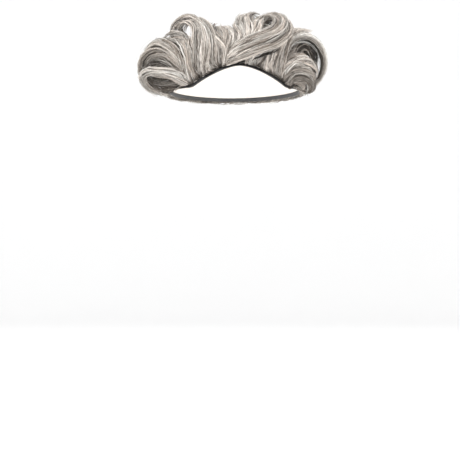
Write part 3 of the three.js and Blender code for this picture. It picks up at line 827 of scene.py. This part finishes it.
def teased(strands, count, sides, alongs, lengths, light=0.55, turning=(1.7, 3.3)):
    """Loose curls that stand off the base and turn over, each clump to a side of its own."""
    rng = strands.rng
    clumps = max(4, count // TEASED_CLUMP_SIZE)
    clump = rng.integers(0, clumps, count)
    side = rng.uniform(*sides, clumps)[clump] + rng.normal(0, 0.02, count)
    along = rng.uniform(*alongs, clumps)[clump] + rng.normal(0, 0.02, count)
    facing = rng.uniform(0, 2 * np.pi, clumps)[clump] + rng.normal(0, 0.14, count)
    length = rng.uniform(*lengths, clumps)[clump] * rng.uniform(0.86, 1.06, count)
    turned = rng.uniform(*turning, clumps)[clump] * rng.uniform(0.9, 1.08, count)
    phase = rng.uniform(0, 2 * np.pi, clumps)[clump] + rng.normal(0, 0.2, count)
    tone = light + rng.normal(0, CLUMP_TONE_SPREAD, clumps)[clump]
    root = on_combing(side, along, BASE_WALL)
    up = unit(head_normal(root) + [0, 0, UPRIGHT])
    level = np.stack([np.cos(facing), np.sin(facing), np.zeros(count)], -1)
    level = unit(level - np.sum(level * up, -1, keepdims=True) * up)
    beside = np.cross(up, level)
    share = np.linspace(0, 1, STRAND_STATIONS)
    halfway = ((share[1:] + share[:-1]) / 2)[None, :]
    bend = (turned[:, None] * halfway**1.5)[..., None]
    sway = (0.4 * np.sin(3 * np.pi * halfway + phase[:, None]))[..., None]
    ahead = unit(np.cos(bend) * up[:, None] + np.sin(bend) * level[:, None] + sway * beside[:, None])
    steps = ahead * (length / (STRAND_STATIONS - 1))[:, None, None]
    paths = root[:, None] + np.concatenate([np.zeros((count, 1, 3)), np.cumsum(steps, 1)], 1)
    apart = rng.normal(0, 0.0011, (count, 1, 3)) * smooth(share, 0, 0.4)[None, :, None]
    strands.add(paths + apart, strand_tones(rng, count, tone))


# Meshes


def new_mesh(name, points, quads, triangles, uvs):
    mesh = bpy.data.meshes.new(name)
    mesh.vertices.add(len(points))
    mesh.vertices.foreach_set("co", np.asarray(points, np.float32).ravel())
    corners = np.concatenate([quads.ravel(), triangles.ravel()]).astype(np.int32)
    starts = np.concatenate(
        [np.arange(len(quads)) * 4, len(quads) * 4 + np.arange(len(triangles)) * 3]
    ).astype(np.int32)
    mesh.loops.add(len(corners))
    mesh.loops.foreach_set("vertex_index", corners)
    mesh.polygons.add(len(starts))
    mesh.polygons.foreach_set("loop_start", starts)
    layer = mesh.uv_layers.new(name="OFBake")
    layer.uv.foreach_set("vector", np.asarray(uvs, np.float32).ravel())
    mesh.update(calc_edges=True)
    mesh.validate()
    mesh.polygons.foreach_set("use_smooth", np.ones(len(mesh.polygons), bool))
    piece = bpy.data.objects.new(name, mesh)
    bpy.context.scene.collection.objects.link(piece)
    return piece


def put_attribute(piece, name, values):
    layer = piece.data.attributes.new(name, "FLOAT", "POINT")
    layer.data.foreach_set("value", np.asarray(values, np.float32).ravel())


def strand_tubes(paths, rng):
    """Closed, tapered tubes round the paths: points, quads, triangles and strips of the map, in
    which each strand has a column of its own between 0 and 1."""
    count, stations = paths.shape[:2]
    sides = STRAND_SIDES
    ahead = unit(np.gradient(paths, axis=1))
    start = np.where(np.abs(ahead[:, 0, 2:]) < 0.9, [[0, 0, 1.0]], [[1.0, 0, 0]])
    beside = np.empty_like(paths)
    one = np.cross(ahead[:, 0], start)
    for k in range(stations):
        one = unit(one - np.sum(one * ahead[:, k], -1, keepdims=True) * ahead[:, k])
        beside[:, k] = one
    above = np.cross(ahead, beside)
    share = np.linspace(0, 1, stations)
    taper = mix(0.8, 1, smooth(share, 0, 0.1)) * mix(1, 0.3, smooth(share, 0.55, 1))
    radius = STRAND_THICKNESS / 2 * rng.uniform(0.8, 1.15, (count, 1)) * taper[None, :]
    angle = rng.random((count, 1, 1)) * 2 * np.pi + 2 * np.pi * np.arange(sides) / sides
    ring = np.cos(angle)[..., None] * beside[:, :, None] + np.sin(angle)[..., None] * above[:, :, None]
    points = (paths[:, :, None] + ring * radius[..., None, None]).reshape(-1, 3)

    strand, station, side = np.meshgrid(
        np.arange(count), np.arange(stations - 1), np.arange(sides), indexing="ij"
    )
    base = (strand * stations + station) * sides
    after = base + (side + 1) % sides
    quads = np.stack([base + side, after, after + sides, base + side + sides], -1).reshape(-1, 4)
    begin = np.arange(count) * stations * sides
    close = begin + (stations - 1) * sides
    triangles = np.stack([
        np.stack([begin, begin + 2, begin + 1], -1), np.stack([close, close + 1, close + 2], -1)
    ], 1).reshape(-1, 3)

    columns = int(math.ceil(math.sqrt(count * STRIPS_PER_ROW)))
    rows = int(math.ceil(count / columns))

    def at(which, across, up):
        u = (which % columns + mix(0.08, 0.92, across)) / columns
        v = (which // columns + mix(0.03, 0.97, up)) / rows
        return np.stack([u, v], -1)

    near = mix(0.04, 0.96, station / (stations - 1))
    far = mix(0.04, 0.96, (station + 1) / (stations - 1))
    here, there = side / sides, (side + 1) / sides
    quad_uvs = np.stack([
        at(strand, here, near), at(strand, there, near), at(strand, there, far), at(strand, here, far)
    ], -2).reshape(-1, 2)
    ids = np.arange(count)
    none, full = np.zeros(count), np.ones(count)
    triangle_uvs = np.stack([
        at(ids, none, full * 0.035), at(ids, full, full * 0.035), at(ids, full / 2, none),
        at(ids, none, full * 0.965), at(ids, full, full * 0.965), at(ids, full / 2, full),
    ], 1).reshape(-1, 2)
    return points, quads, triangles, quad_uvs, triangle_uvs


def strand_piece(name, strands, material):
    """One mesh of all the strands. Each group has a band of the map as high as its strands need."""
    sizes = np.array([paths.shape[0] * (paths.shape[1] - 1) for paths, _, _ in strands.groups], float)
    edges = np.concatenate([[0], np.cumsum(sizes) / sizes.sum()])
    points, quads, triangles, quad_uvs, triangle_uvs = [], [], [], [], []
    tones, warmths, reaches = [], [], []
    offset = 0
    for number, (paths, tone, warmth) in enumerate(strands.groups):
        made = strand_tubes(paths, strands.rng)
        low, high = edges[number], edges[number + 1]
        for uvs, kept in ((made[3], quad_uvs), (made[4], triangle_uvs)):
            uvs[:, 1] = mix(low, high, uvs[:, 1])
            kept.append(uvs)
        points.append(made[0])
        quads.append(made[1] + offset)
        triangles.append(made[2] + offset)
        offset += len(made[0])
        tones.append(np.repeat(tone.reshape(-1), STRAND_SIDES))
        warmths.append(np.repeat(warmth.reshape(-1), STRAND_SIDES))
        steps = np.linalg.norm(np.diff(paths, axis=1), axis=-1).cumsum(1)
        reach = np.concatenate([np.zeros((len(paths), 1)), steps], 1)
        reaches.append(np.repeat(reach.reshape(-1), STRAND_SIDES))
    piece = new_mesh(
        name, np.concatenate(points), np.concatenate(quads), np.concatenate(triangles),
        np.concatenate([*quad_uvs, *triangle_uvs]),
    )
    put_attribute(piece, "tone", np.concatenate(tones))
    put_attribute(piece, "warmth", np.concatenate(warmths))
    put_attribute(piece, "from_root", np.concatenate(reaches))
    piece.data.materials.append(material)
    return piece


def grid_piece(name, sheets, material, ring=False):
    """Closed bodies, each from a grid of points (rows, columns, 3) that wraps round its columns.
    The first and last rows are closed by fans, or joined to each other for a ring."""
    points, quads, triangles, quad_uvs, triangle_uvs = [], [], [], [], []
    offset = 0
    boxes = int(math.ceil(math.sqrt(len(sheets))))
    for number, grid in enumerate(sheets):
        rows, columns = grid.shape[:2]
        bands = rows if ring else rows - 1
        row, column = np.meshgrid(np.arange(bands), np.arange(columns), indexing="ij")
        after, above = (column + 1) % columns, (row + 1) % rows
        quad = np.stack([row * columns + column, row * columns + after,
                         above * columns + after, above * columns + column], -1)
        quads.append(quad.reshape(-1, 4) + offset)
        corner = np.array([number % boxes, number // boxes]) / boxes
        low, high = mix(0.08, 0.92, row / bands), mix(0.08, 0.92, (row + 1) / bands)
        left, right = column / columns, (column + 1) / columns
        uv = np.stack([np.stack([left, low], -1), np.stack([right, low], -1),
                       np.stack([right, high], -1), np.stack([left, high], -1)], -2)
        quad_uvs.append(corner + mix(0.02, 0.98, uv.reshape(-1, 2)) / boxes)
        points.append(grid.reshape(-1, 3))
        if not ring:
            ends = np.stack([grid[0].mean(0), grid[-1].mean(0)])
            points.append(ends)
            middle = rows * columns
            around = np.arange(columns)
            last = (rows - 1) * columns
            first_fan = np.stack([around, np.full(columns, middle), (around + 1) % columns], -1)
            last_middle = np.full(columns, middle + 1)
            last_fan = np.stack([last + around, last + (around + 1) % columns, last_middle], -1)
            triangles.append(np.concatenate([first_fan, last_fan]) + offset)
            left, right = around / columns, (around + 1) / columns
            half, none, full = (left + right) / 2, np.zeros(columns), np.ones(columns)
            first_uv = [(left, full * 0.08), (half, none), (right, full * 0.08)]
            last_uv = [(left, full * 0.92), (right, full * 0.92), (half, full)]
            fans = [
                np.stack([np.stack(pair, -1) for pair in corners], -2)
                for corners in (first_uv, last_uv)
            ]
            triangle_uvs.append(corner + mix(0.02, 0.98, np.concatenate(fans).reshape(-1, 2)) / boxes)
            offset += 2
        offset += rows * columns
    piece = new_mesh(
        name, np.concatenate(points), np.concatenate(quads),
        np.concatenate(triangles) if triangles else np.zeros((0, 3), int),
        np.concatenate([*quad_uvs, *triangle_uvs]),
    )
    piece.data.materials.append(material)
    return piece


def core_grid(guide, share_of_width=0.62, reach=0.9):
    """The inside of a lock: a slimmer oval tube along its guide, drawn to a point."""
    share = np.linspace(0.0, reach, 22)
    angle = np.linspace(0, 2 * np.pi, 10, endpoint=False)
    close = np.sqrt(np.clip(1 - smooth(share, reach * 0.8, reach), 0.02, 1))
    broad = along_guide(guide, "broad", share) * share_of_width * close
    deep = along_guide(guide, "deep", share) * share_of_width * close
    place = along_guide(guide, "place", share)
    across = along_guide(guide, "across", share)
    through = along_guide(guide, "through", share)
    grid = place[:, None] + np.cos(angle)[None, :, None] * (across * broad[:, None])[:, None]
    return grid + np.sin(angle)[None, :, None] * (through * deep[:, None])[:, None]


def dome_grid(inner, outer, bottom, top=0.0, turn_step=4, rows=26):
    """A closed wall over the head. inner and outer are lifts, as numbers or as functions of
    turn and down. The grid runs down the outside and back up the inside."""
    turns = np.arange(-180, 180, turn_step)
    share = np.linspace(0, 1, rows)[:, None]
    ends = bottom(turns)[None, :] if callable(bottom) else np.full((1, len(turns)), bottom)
    starts = top(turns)[None, :] if callable(top) else np.full((1, len(turns)), top)
    downs = mix(starts, ends, share)
    outside = on_head(turns[None, :], downs, outer(turns[None, :], downs) if callable(outer) else outer)
    inside = on_head(turns[None, :], downs, inner(turns[None, :], downs) if callable(inner) else inner)
    return np.concatenate([outside, inside[::-1]])


# Materials


def node(tree, kind, **values):
    made = tree.nodes.new(kind)
    for key, value in values.items():
        setattr(made, key, value)
    return made


def fresh_material(name, roughness, specular=0.5):
    material = bpy.data.materials.new(name)
    material.use_nodes = True
    tree = material.node_tree
    tree.nodes.clear()
    output = node(tree, "ShaderNodeOutputMaterial")
    shader = node(tree, "ShaderNodeBsdfPrincipled")
    shader.inputs["Roughness"].default_value = roughness
    shader.inputs["Specular IOR Level"].default_value = specular
    tree.links.new(shader.outputs[0], output.inputs[0])
    return material, tree, shader


def object_place(tree):
    return node(tree, "ShaderNodeTexCoord").outputs["Object"]


def noise_over(tree, place, scale, detail=2):
    noise = node(tree, "ShaderNodeTexNoise")
    noise.inputs["Scale"].default_value = scale
    noise.inputs["Detail"].default_value = detail
    tree.links.new(place, noise.inputs["Vector"])
    return noise.outputs[0]


def raise_surface(tree, shader, height, strength, distance):
    bump = node(tree, "ShaderNodeBump")
    bump.inputs["Strength"].default_value = strength
    bump.inputs["Distance"].default_value = distance
    tree.links.new(height, bump.inputs["Height"])
    tree.links.new(bump.outputs[0], shader.inputs["Normal"])


def ramp(tree, source, stops):
    made = node(tree, "ShaderNodeValToRGB")
    elements = made.color_ramp.elements
    while len(elements) < len(stops):
        elements.new(0.5)
    for element, (place, colour) in zip(elements, stops):
        element.position = place
        element.color = (*colour, 1)
    tree.links.new(source, made.inputs[0])
    return made.outputs[0]


def times(tree, first, second):
    made = node(tree, "ShaderNodeMix", data_type="RGBA", blend_type="MULTIPLY")
    made.inputs[0].default_value = 1
    tree.links.new(first, made.inputs[6])
    tree.links.new(second, made.inputs[7])
    return made.outputs[2]


HAIR_TONES = [
    (0.0, (0.034, 0.029, 0.024)),
    (0.25, (0.170, 0.147, 0.124)),
    (0.55, (0.478, 0.430, 0.385)),
    (0.8, (0.715, 0.665, 0.615)),
    (1.0, (0.880, 0.840, 0.795)),
]
# Root darkening: the dark knots, and painted shade near the base
ROOT_SHADES = [
    (0.0, (0.08, 0.076, 0.072)),
    (0.35, (0.34, 0.325, 0.31)),
    (0.65, (0.8, 0.79, 0.78)),
    (1.0, (1, 1, 1)),
]
ROOT_REACH = 0.009
WARMTH_TINTS = [(0.0, (0.93, 0.975, 1.0)), (0.5, (0.985, 0.985, 0.98)), (1.0, (1.0, 0.955, 0.92))]
MOTTLES = [(0.3, (0.82, 0.81, 0.8)), (0.7, (1, 1, 1))]
# Near-black tones of the lock cores: painted shade between the strands
DEPTH_SHADE_TONES = [(0.32, (0.035, 0.030, 0.027)), (0.5, (0.085, 0.075, 0.068)), (0.68, (0.19, 0.17, 0.155))]
# Tones of the hair under the strands: streaked hair, darkened as painted shade
UNDER_SHADE_TONES = [(0.36, (0.035, 0.03, 0.026)), (0.5, (0.16, 0.142, 0.125)), (0.64, (0.42, 0.38, 0.345))]
STREAKS_PER_METRE = (1300, 45, 45)
LACE_TONES = [(0.02, (0.86, 0.82, 0.77)), (0.16, (0.66, 0.61, 0.55))]
LACE_CELLS_PER_METRE = 900
EDGE_TONES = [(0.35, (0.014, 0.014, 0.015)), (0.7, (0.036, 0.036, 0.037))]
BACKDROP = (0.93, 0.93, 0.93, 1)


def hair_material():
    """Each strand has its tone and warmth, and darkens towards its root, for the dark knots there and as
    painted shade near the base.
    """
    material, tree, shader = fresh_material("silver_hair", 0.48, 0.4)
    tone, root, warmth = (
        node(tree, "ShaderNodeAttribute", attribute_name=name).outputs["Fac"]
        for name in ("tone", "from_root", "warmth")
    )
    near_root = node(tree, "ShaderNodeMapRange", clamp=True)
    near_root.inputs["From Min"].default_value = 0.0
    near_root.inputs["From Max"].default_value = ROOT_REACH
    tree.links.new(root, near_root.inputs["Value"])
    tinted = times(tree, ramp(tree, tone, HAIR_TONES), ramp(tree, warmth, WARMTH_TINTS))
    rooted = times(tree, tinted, ramp(tree, near_root.outputs[0], ROOT_SHADES))
    mottle = ramp(tree, noise_over(tree, object_place(tree), 260), MOTTLES)
    tree.links.new(times(tree, rooted, mottle), shader.inputs["Base Color"])
    return material


# The inside of the locks, coloured near black as painted shade
def core_shade_material():
    material, tree, shader = fresh_material("hair_depth_shade", 0.7, 0.2)
    noise = noise_over(tree, object_place(tree), 420, 3)
    tree.links.new(ramp(tree, noise, DEPTH_SHADE_TONES), shader.inputs["Base Color"])
    return material


def under_material():
    """Hair seen between the strands over the crown: fine streaks that run from front to back, darker than
    the strands as painted shade.
    """
    material, tree, shader = fresh_material("under_hair", 0.6, 0.3)
    stretched = node(tree, "ShaderNodeMapping")
    stretched.inputs["Scale"].default_value = STREAKS_PER_METRE
    tree.links.new(object_place(tree), stretched.inputs["Vector"])
    noise = noise_over(tree, stretched.outputs[0], 1, 3)
    tree.links.new(ramp(tree, noise, UNDER_SHADE_TONES), shader.inputs["Base Color"])
    raise_surface(tree, shader, noise, 0.5, 0.0006)
    return material


def lace_material():
    material, tree, shader = fresh_material("base_lace", 0.75)
    cells = node(tree, "ShaderNodeTexVoronoi", feature="DISTANCE_TO_EDGE")
    cells.inputs["Scale"].default_value = LACE_CELLS_PER_METRE
    tree.links.new(object_place(tree), cells.inputs["Vector"])
    to_edge = cells.outputs["Distance"]
    tree.links.new(ramp(tree, to_edge, LACE_TONES), shader.inputs["Base Color"])
    raise_surface(tree, shader, to_edge, 0.35, 0.0003)
    return material


def edge_material():
    material, tree, shader = fresh_material("edge_coating", 0.5)
    noise = noise_over(tree, object_place(tree), 700)
    tree.links.new(ramp(tree, noise, EDGE_TONES), shader.inputs["Base Color"])
    return material


def pale_material():
    material, _, shader = fresh_material("pale_backdrop", 0.9, 0.1)
    shader.inputs["Base Color"].default_value = BACKDROP
    return material


# Scene: floor, light and camera


def make_camera():
    data = bpy.data.cameras.new("camera")
    data.sensor_width = 36
    data.lens = data.sensor_width * VIEW_DISTANCE / (PHOTO_PIXELS * METRES_PER_PIXEL)
    camera = bpy.data.objects.new("camera", data)
    camera.location = CAMERA_PLACE
    camera.rotation_euler = (math.radians(90), 0, -YAW)
    bpy.context.scene.collection.objects.link(camera)
    bpy.context.scene.camera = camera


def make_floor():
    """A round floor that curves up into a low wall all round."""
    profile = [(0.02, 0.0), (FLOOR_RADIUS / 2, 0.0), (FLOOR_RADIUS, 0.0)]
    for step in range(1, 13):
        angle = math.radians(step * 90 / 12)
        profile.append((FLOOR_RADIUS + FLOOR_CURVE * math.sin(angle), FLOOR_CURVE * (1 - math.cos(angle))))
    profile.append((FLOOR_RADIUS + FLOOR_CURVE, WALL_HEIGHT))
    points, faces = [], []
    around = 64
    for radius, height in profile:
        for k in range(around):
            angle = 2 * math.pi * k / around
            points.append((radius * math.cos(angle), radius * math.sin(angle), FLOOR_HEIGHT + height))
    for row in range(len(profile) - 1):
        for k in range(around):
            after = (k + 1) % around
            faces.append((row * around + k, row * around + after,
                          (row + 1) * around + after, (row + 1) * around + k))
    faces.append(tuple(range(around))[::-1])
    mesh = bpy.data.meshes.new("floor")
    mesh.from_pydata(points, [], faces)
    mesh.polygons.foreach_set("use_smooth", np.ones(len(mesh.polygons), bool))
    mesh.materials.append(pale_material())
    floor = bpy.data.objects.new("floor", mesh)
    bpy.context.scene.collection.objects.link(floor)


def area_light(name, place, size, power):
    """A round light that faces the origin."""
    data = bpy.data.lights.new(name, "AREA")
    data.shape = "DISK"
    data.size = size
    data.energy = power
    light = bpy.data.objects.new(name, data)
    light.location = place
    x, y, z = place
    light.rotation_euler = (math.atan2(math.hypot(x, y), z), 0, math.atan2(-y, -x) - math.pi / 2)
    bpy.context.scene.collection.objects.link(light)


def make_lights():
    area_light("key", (-1.1, -1.5, 1.7), 1.0, 62)
    area_light("fill", (1.7, -1.6, 0.4), 1.5, 32)
    area_light("top", (0.2, 0.6, 1.9), 1.2, 40)
    world = bpy.data.worlds.new("studio")
    world.use_nodes = True
    back = world.node_tree.nodes["Background"]
    back.inputs[0].default_value = (1, 1, 1, 1)
    back.inputs[1].default_value = 0.7
    bpy.context.scene.world = world
    bpy.context.scene.view_settings.view_transform = "Standard"


# Pieces


def finish_piece(piece, slot, *nodes):
    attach(piece, BODY)
    if nodes:
        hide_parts(*nodes)


make_camera()
make_floor()
make_lights()

hair = hair_material()
quiff, swoop, centre, roots, loop, right_curl, left_curl, crown_curls = (
    [guide_of(row) for row in table]
    for table in (LEFT_QUIFF, RIGHT_SWOOP, CENTRE_WAVES, FRONT_ROOTS,
                  RIGHT_LOOP, RIGHT_TEMPLE_CURL, LEFT_TEMPLE_CURL, CROWN_CURLS)
)
ribbon = slimmer(loop[0], 0.95, 0.5)
lock = {name: traced_guide(row) for name, row in TRACED_LOCKS.items()}


def comb_traced(strands, *names):
    for name in names:
        count, light, _, options = TRACED_LOCKS[name][-4:]
        comb_lock(strands, lock[name], count, light=light, **options)


def finish_hair(node_name, strands):
    finish_piece(strand_piece(f"{node_name}_hair", strands, hair), "hair", node_name)


def dress_left_quiff():
    strands = Strands(11)
    for guide in quiff:
        comb_lock(strands, guide, 125, light=0.62, loose=0.01)
    comb_between(strands, quiff[0], quiff[1], 120, light=0.62, loose=0.01)
    comb_between(strands, quiff[1], quiff[2], 125, light=0.61)
    comb_between(strands, quiff[3], quiff[4], 110, light=0.64, loose=0.01)
    comb_traced(strands, "shoulder", "under_curl")
    comb_between(strands, lock["under_curl"], quiff[3], 115, rows=2, light=0.7, loose=0.01)
    comb_traced(strands, "outer_edge", "inner_turn", "below_hole", "crescent")
    undercoat(strands, quiff, (-52, -18), (0.55, 0.965), 300, (0.018, 0.034))
    flyaways(strands, quiff[0], quiff[1], lock["outer_edge"], lock["shoulder"])
    finish_hair("left_quiff", strands)


def dress_right_swoop():
    strands = Strands(12)
    for guide in swoop:
        # lit paints the right side of these locks darker as painted shade
        comb_lock(strands, guide, 250, light=0.63, lit=(1.05, 0.86), **LONG)
    comb_between(strands, swoop[0], swoop[1], 200, light=0.62)
    comb_traced(strands, "swoop_outer")
    comb_between(strands, swoop[0], lock["swoop_outer"], 140, light=0.62)
    comb_traced(strands, "swoop_eye")
    undercoat(strands, swoop, (-12, 1), (0.6, 0.965), 140, (0.02, 0.04))
    flyaways(strands, lock["swoop_outer"])
    finish_hair("right_swoop", strands)


def dress_centre_waves():
    strands = Strands(13)
    for guide, reach in zip(centre, ((0.62, 0.78), (0.78, 1.0), (0.78, 1.03))):
        comb_lock(strands, guide, 145, light=0.64, loose=0.01, reach=reach)
    comb_between(strands, centre[0], centre[1], 110, light=0.62, loose=0.01, reach=(0.66, 0.84))
    comb_between(strands, centre[1], centre[2], 110, light=0.64)
    comb_traced(strands, "pale_band", "wave_over", "wave_middle", "mound_face",
                "wave_left", "wave_right", "wave_far")
    comb_between(strands, lock["wave_left"], lock["wave_right"], 90, light=0.68)
    undercoat(strands, centre, (-20, 2), (0.55, 0.965), 200, (0.018, 0.034))
    flyaways(strands, lock["wave_over"], lock["wave_middle"], lock["wave_right"])
    finish_hair("centre_waves", strands)


def dress_front_roots():
    strands = Strands(14)
    for guide in roots:
        comb_lock(strands, guide, 125, light=0.74)
    comb_between(strands, roots[2], roots[3], 130, light=0.76)
    comb_traced(strands, "column", "upright", "upright_low", "shade")
    # tip_shade darkens the root strands' tips as painted shade under the swoop
    undercoat(strands, roots, (0, 36), (0.6, 0.969), 720, (0.016, 0.032), light=0.84, tip_shade=0.45)
    finish_hair("front_roots", strands)


def dress_right_loop():
    strands = Strands(15)
    # lit and lit_turn paint the inner side of the loop's ribbon dark as painted shade
    comb_lock(strands, ribbon, 380, light=0.84, tight=0.35, loose=0.02, reach=(0.99, 1.05),
              lit=(1.0, 0.18), lit_turn=45, **LONG)
    comb_traced(strands, "depth_top", "loop_beige", "depth_low", "depth_high", "crossing", "crossing_high")
    # the undercoat under the loop is dark as painted shade
    undercoat(strands, loop, (34, 62), (0.5, 0.9), 220, (0.02, 0.04), light=0.3)
    flyaways(strands, ribbon)
    finish_hair("right_loop", strands)


def dress_right_temple_curl():
    strands = Strands(16)
    # the lower lights of the middle locks paint shade between the arcs of the curl
    for guide, light in zip(right_curl[1:], (0.64, 0.52, 0.58)):
        comb_lock(strands, guide, 140, light=light)
    comb_between(strands, right_curl[0], right_curl[1], 140, rows=2, light=0.64)
    comb_between(strands, right_curl[1], right_curl[2], 110, light=0.56)
    comb_traced(strands, "fan_top", "roll", "roll_eye", "wall", "tips")
    undercoat(strands, right_curl, (34, 62), (0.85, 0.965), 240, (0.02, 0.04))
    finish_hair("right_temple_curl", strands)


def dress_left_temple_curl():
    strands = Strands(17)
    # lit paints the inner side of the curl darker as painted shade
    comb_lock(strands, left_curl[0], 300, light=0.62, tight=0.5, lit=(0.55, 1.0), **LONG)
    comb_lock(strands, left_curl[1], 140, light=0.54)
    comb_lock(strands, left_curl[2], 130, light=0.74, tight=0.5)
    # a dark lock as painted shade inside the curl
    comb_lock(strands, left_curl[3], 90, light=0.26)
    comb_traced(strands, "light_band", "band_low", "grey_fan", "over_ribbon", "inner_roll",
                "cavity_back", "cavity", "hollow", "stray")
    undercoat(strands, left_curl, (-72, -50), (0.5, 0.965), 260, (0.02, 0.05), light=0.6)
    flyaways(strands, left_curl[0], lock["over_ribbon"], lock["light_band"])
    finish_hair("left_temple_curl", strands)


def dress_crown():
    strands = Strands(18)
    comb_back(strands, 770, (-0.56, 0.56), (-0.62, 0.4), (0.07, 0.115))
    for guide in crown_curls:
        comb_lock(strands, guide, 80, light=0.6, reach=(0.6, 0.78))
    comb_traced(strands, "mound", "mound_left", "mound_right", "behind_eye", "arch",
                "under_eye", "top_curl", "top_right")
    flyaways(strands, lock["mound"], lock["top_right"])
    teased(strands, 320, (-0.42, 0.04), (-0.5, -0.12), (0.024, 0.034), light=0.66, turning=(2.4, 4.2))
    teased(strands, 200, (0.04, 0.62), (-0.5, -0.1), (0.034, 0.048))
    teased(strands, 150, (-0.74, -0.42), (-0.5, -0.08), (0.03, 0.044))
    finish_hair("crown_waves", strands)


def dress_back():
    strands = Strands(19)
    comb_back(strands, 900, (-0.72, 0.72), (0.3, 0.96), (0.04, 0.08))
    rim_fringe(strands, (112, 248), 440)
    finish_hair("back_waves", strands)


def dress_side(node_name, sign, seed):
    """The hair over one ear. sign is -1 on the left and 1 on the right."""
    strands = Strands(seed)
    low, high = sorted((sign * 0.52, sign * 0.84))
    comb_back(strands, 390, (low, high), (-0.5, 0.5), (0.06, 0.1))
    comb_side(strands, 440, (sign * 58, sign * 128), (0.6, 0.97))
    turns = sorted(((sign * 56) % 360, (sign * 116) % 360))
    rim_fringe(strands, turns, 360)
    finish_hair(node_name, strands)


dress_left_quiff()
dress_right_swoop()
dress_centre_waves()
dress_front_roots()
dress_right_loop()
dress_right_temple_curl()
dress_left_temple_curl()
dress_crown()
dress_back()
dress_side("left_side_waves", -1, 20)
dress_side("right_side_waves", 1, 21)

mounds = [
    lock[name]
    for name in ("mound", "mound_left", "mound_right", "behind_eye", "top_curl", "top_right")
]
core_locks = [
    lock["cavity_back"], *quiff, *swoop, *centre, roots[3], ribbon, *right_curl[1:], *left_curl[:3]
]
core_sheets = [core_grid(guide) for guide in core_locks] + [core_grid(guide, 0.45) for guide in mounds]


def core_top(turn, down):
    """The pile of the hair's inner mass over the base."""
    crown = 1 - smooth(down, 0.35, 0.62)
    behind = smooth(np.abs(turn), 55, 80) * (1 - smooth(down, 0.8, 0.95))
    return BASE_WALL + UNDER_LIFT + np.maximum(UNDER_CROWN * crown, UNDER_SIDES * behind) + 0 * turn


# The lock cores, dark as painted shade inside the hair
finish_piece(grid_piece("hair_depth_shade", core_sheets, core_shade_material()), "hair")


def under_bottom(turn):
    """Just over the rim at the sides and back, and behind the first roots at the front."""
    return mix(0.94, 0.972, smooth(np.abs(turn), 60, 90))


under_sheet = dome_grid(BASE_WALL + SHEET_GAP, core_top, under_bottom, top=0.001, rows=18)
finish_piece(grid_piece("under_hair", [under_sheet], under_material()), "hair")

lace = grid_piece(
    "base_lace",
    [dome_grid(0.0, BASE_WALL, lambda turn: share_above_rim(turn, EDGE_WIDTH + CLEARANCE),
               top=0.001, rows=18)],
    lace_material(),
)
finish_piece(lace, "base", "base_cap")
edge = grid_piece(
    "edge_tape",
    [dome_grid(0.0, BASE_WALL, lambda turn: np.ones_like(turn, dtype=float),
               top=lambda turn: share_above_rim(turn, EDGE_WIDTH), rows=6)],
    edge_material(),
    ring=True,
)
finish_piece(edge, "edge", "edge_band")

bpy.context.view_layer.update()
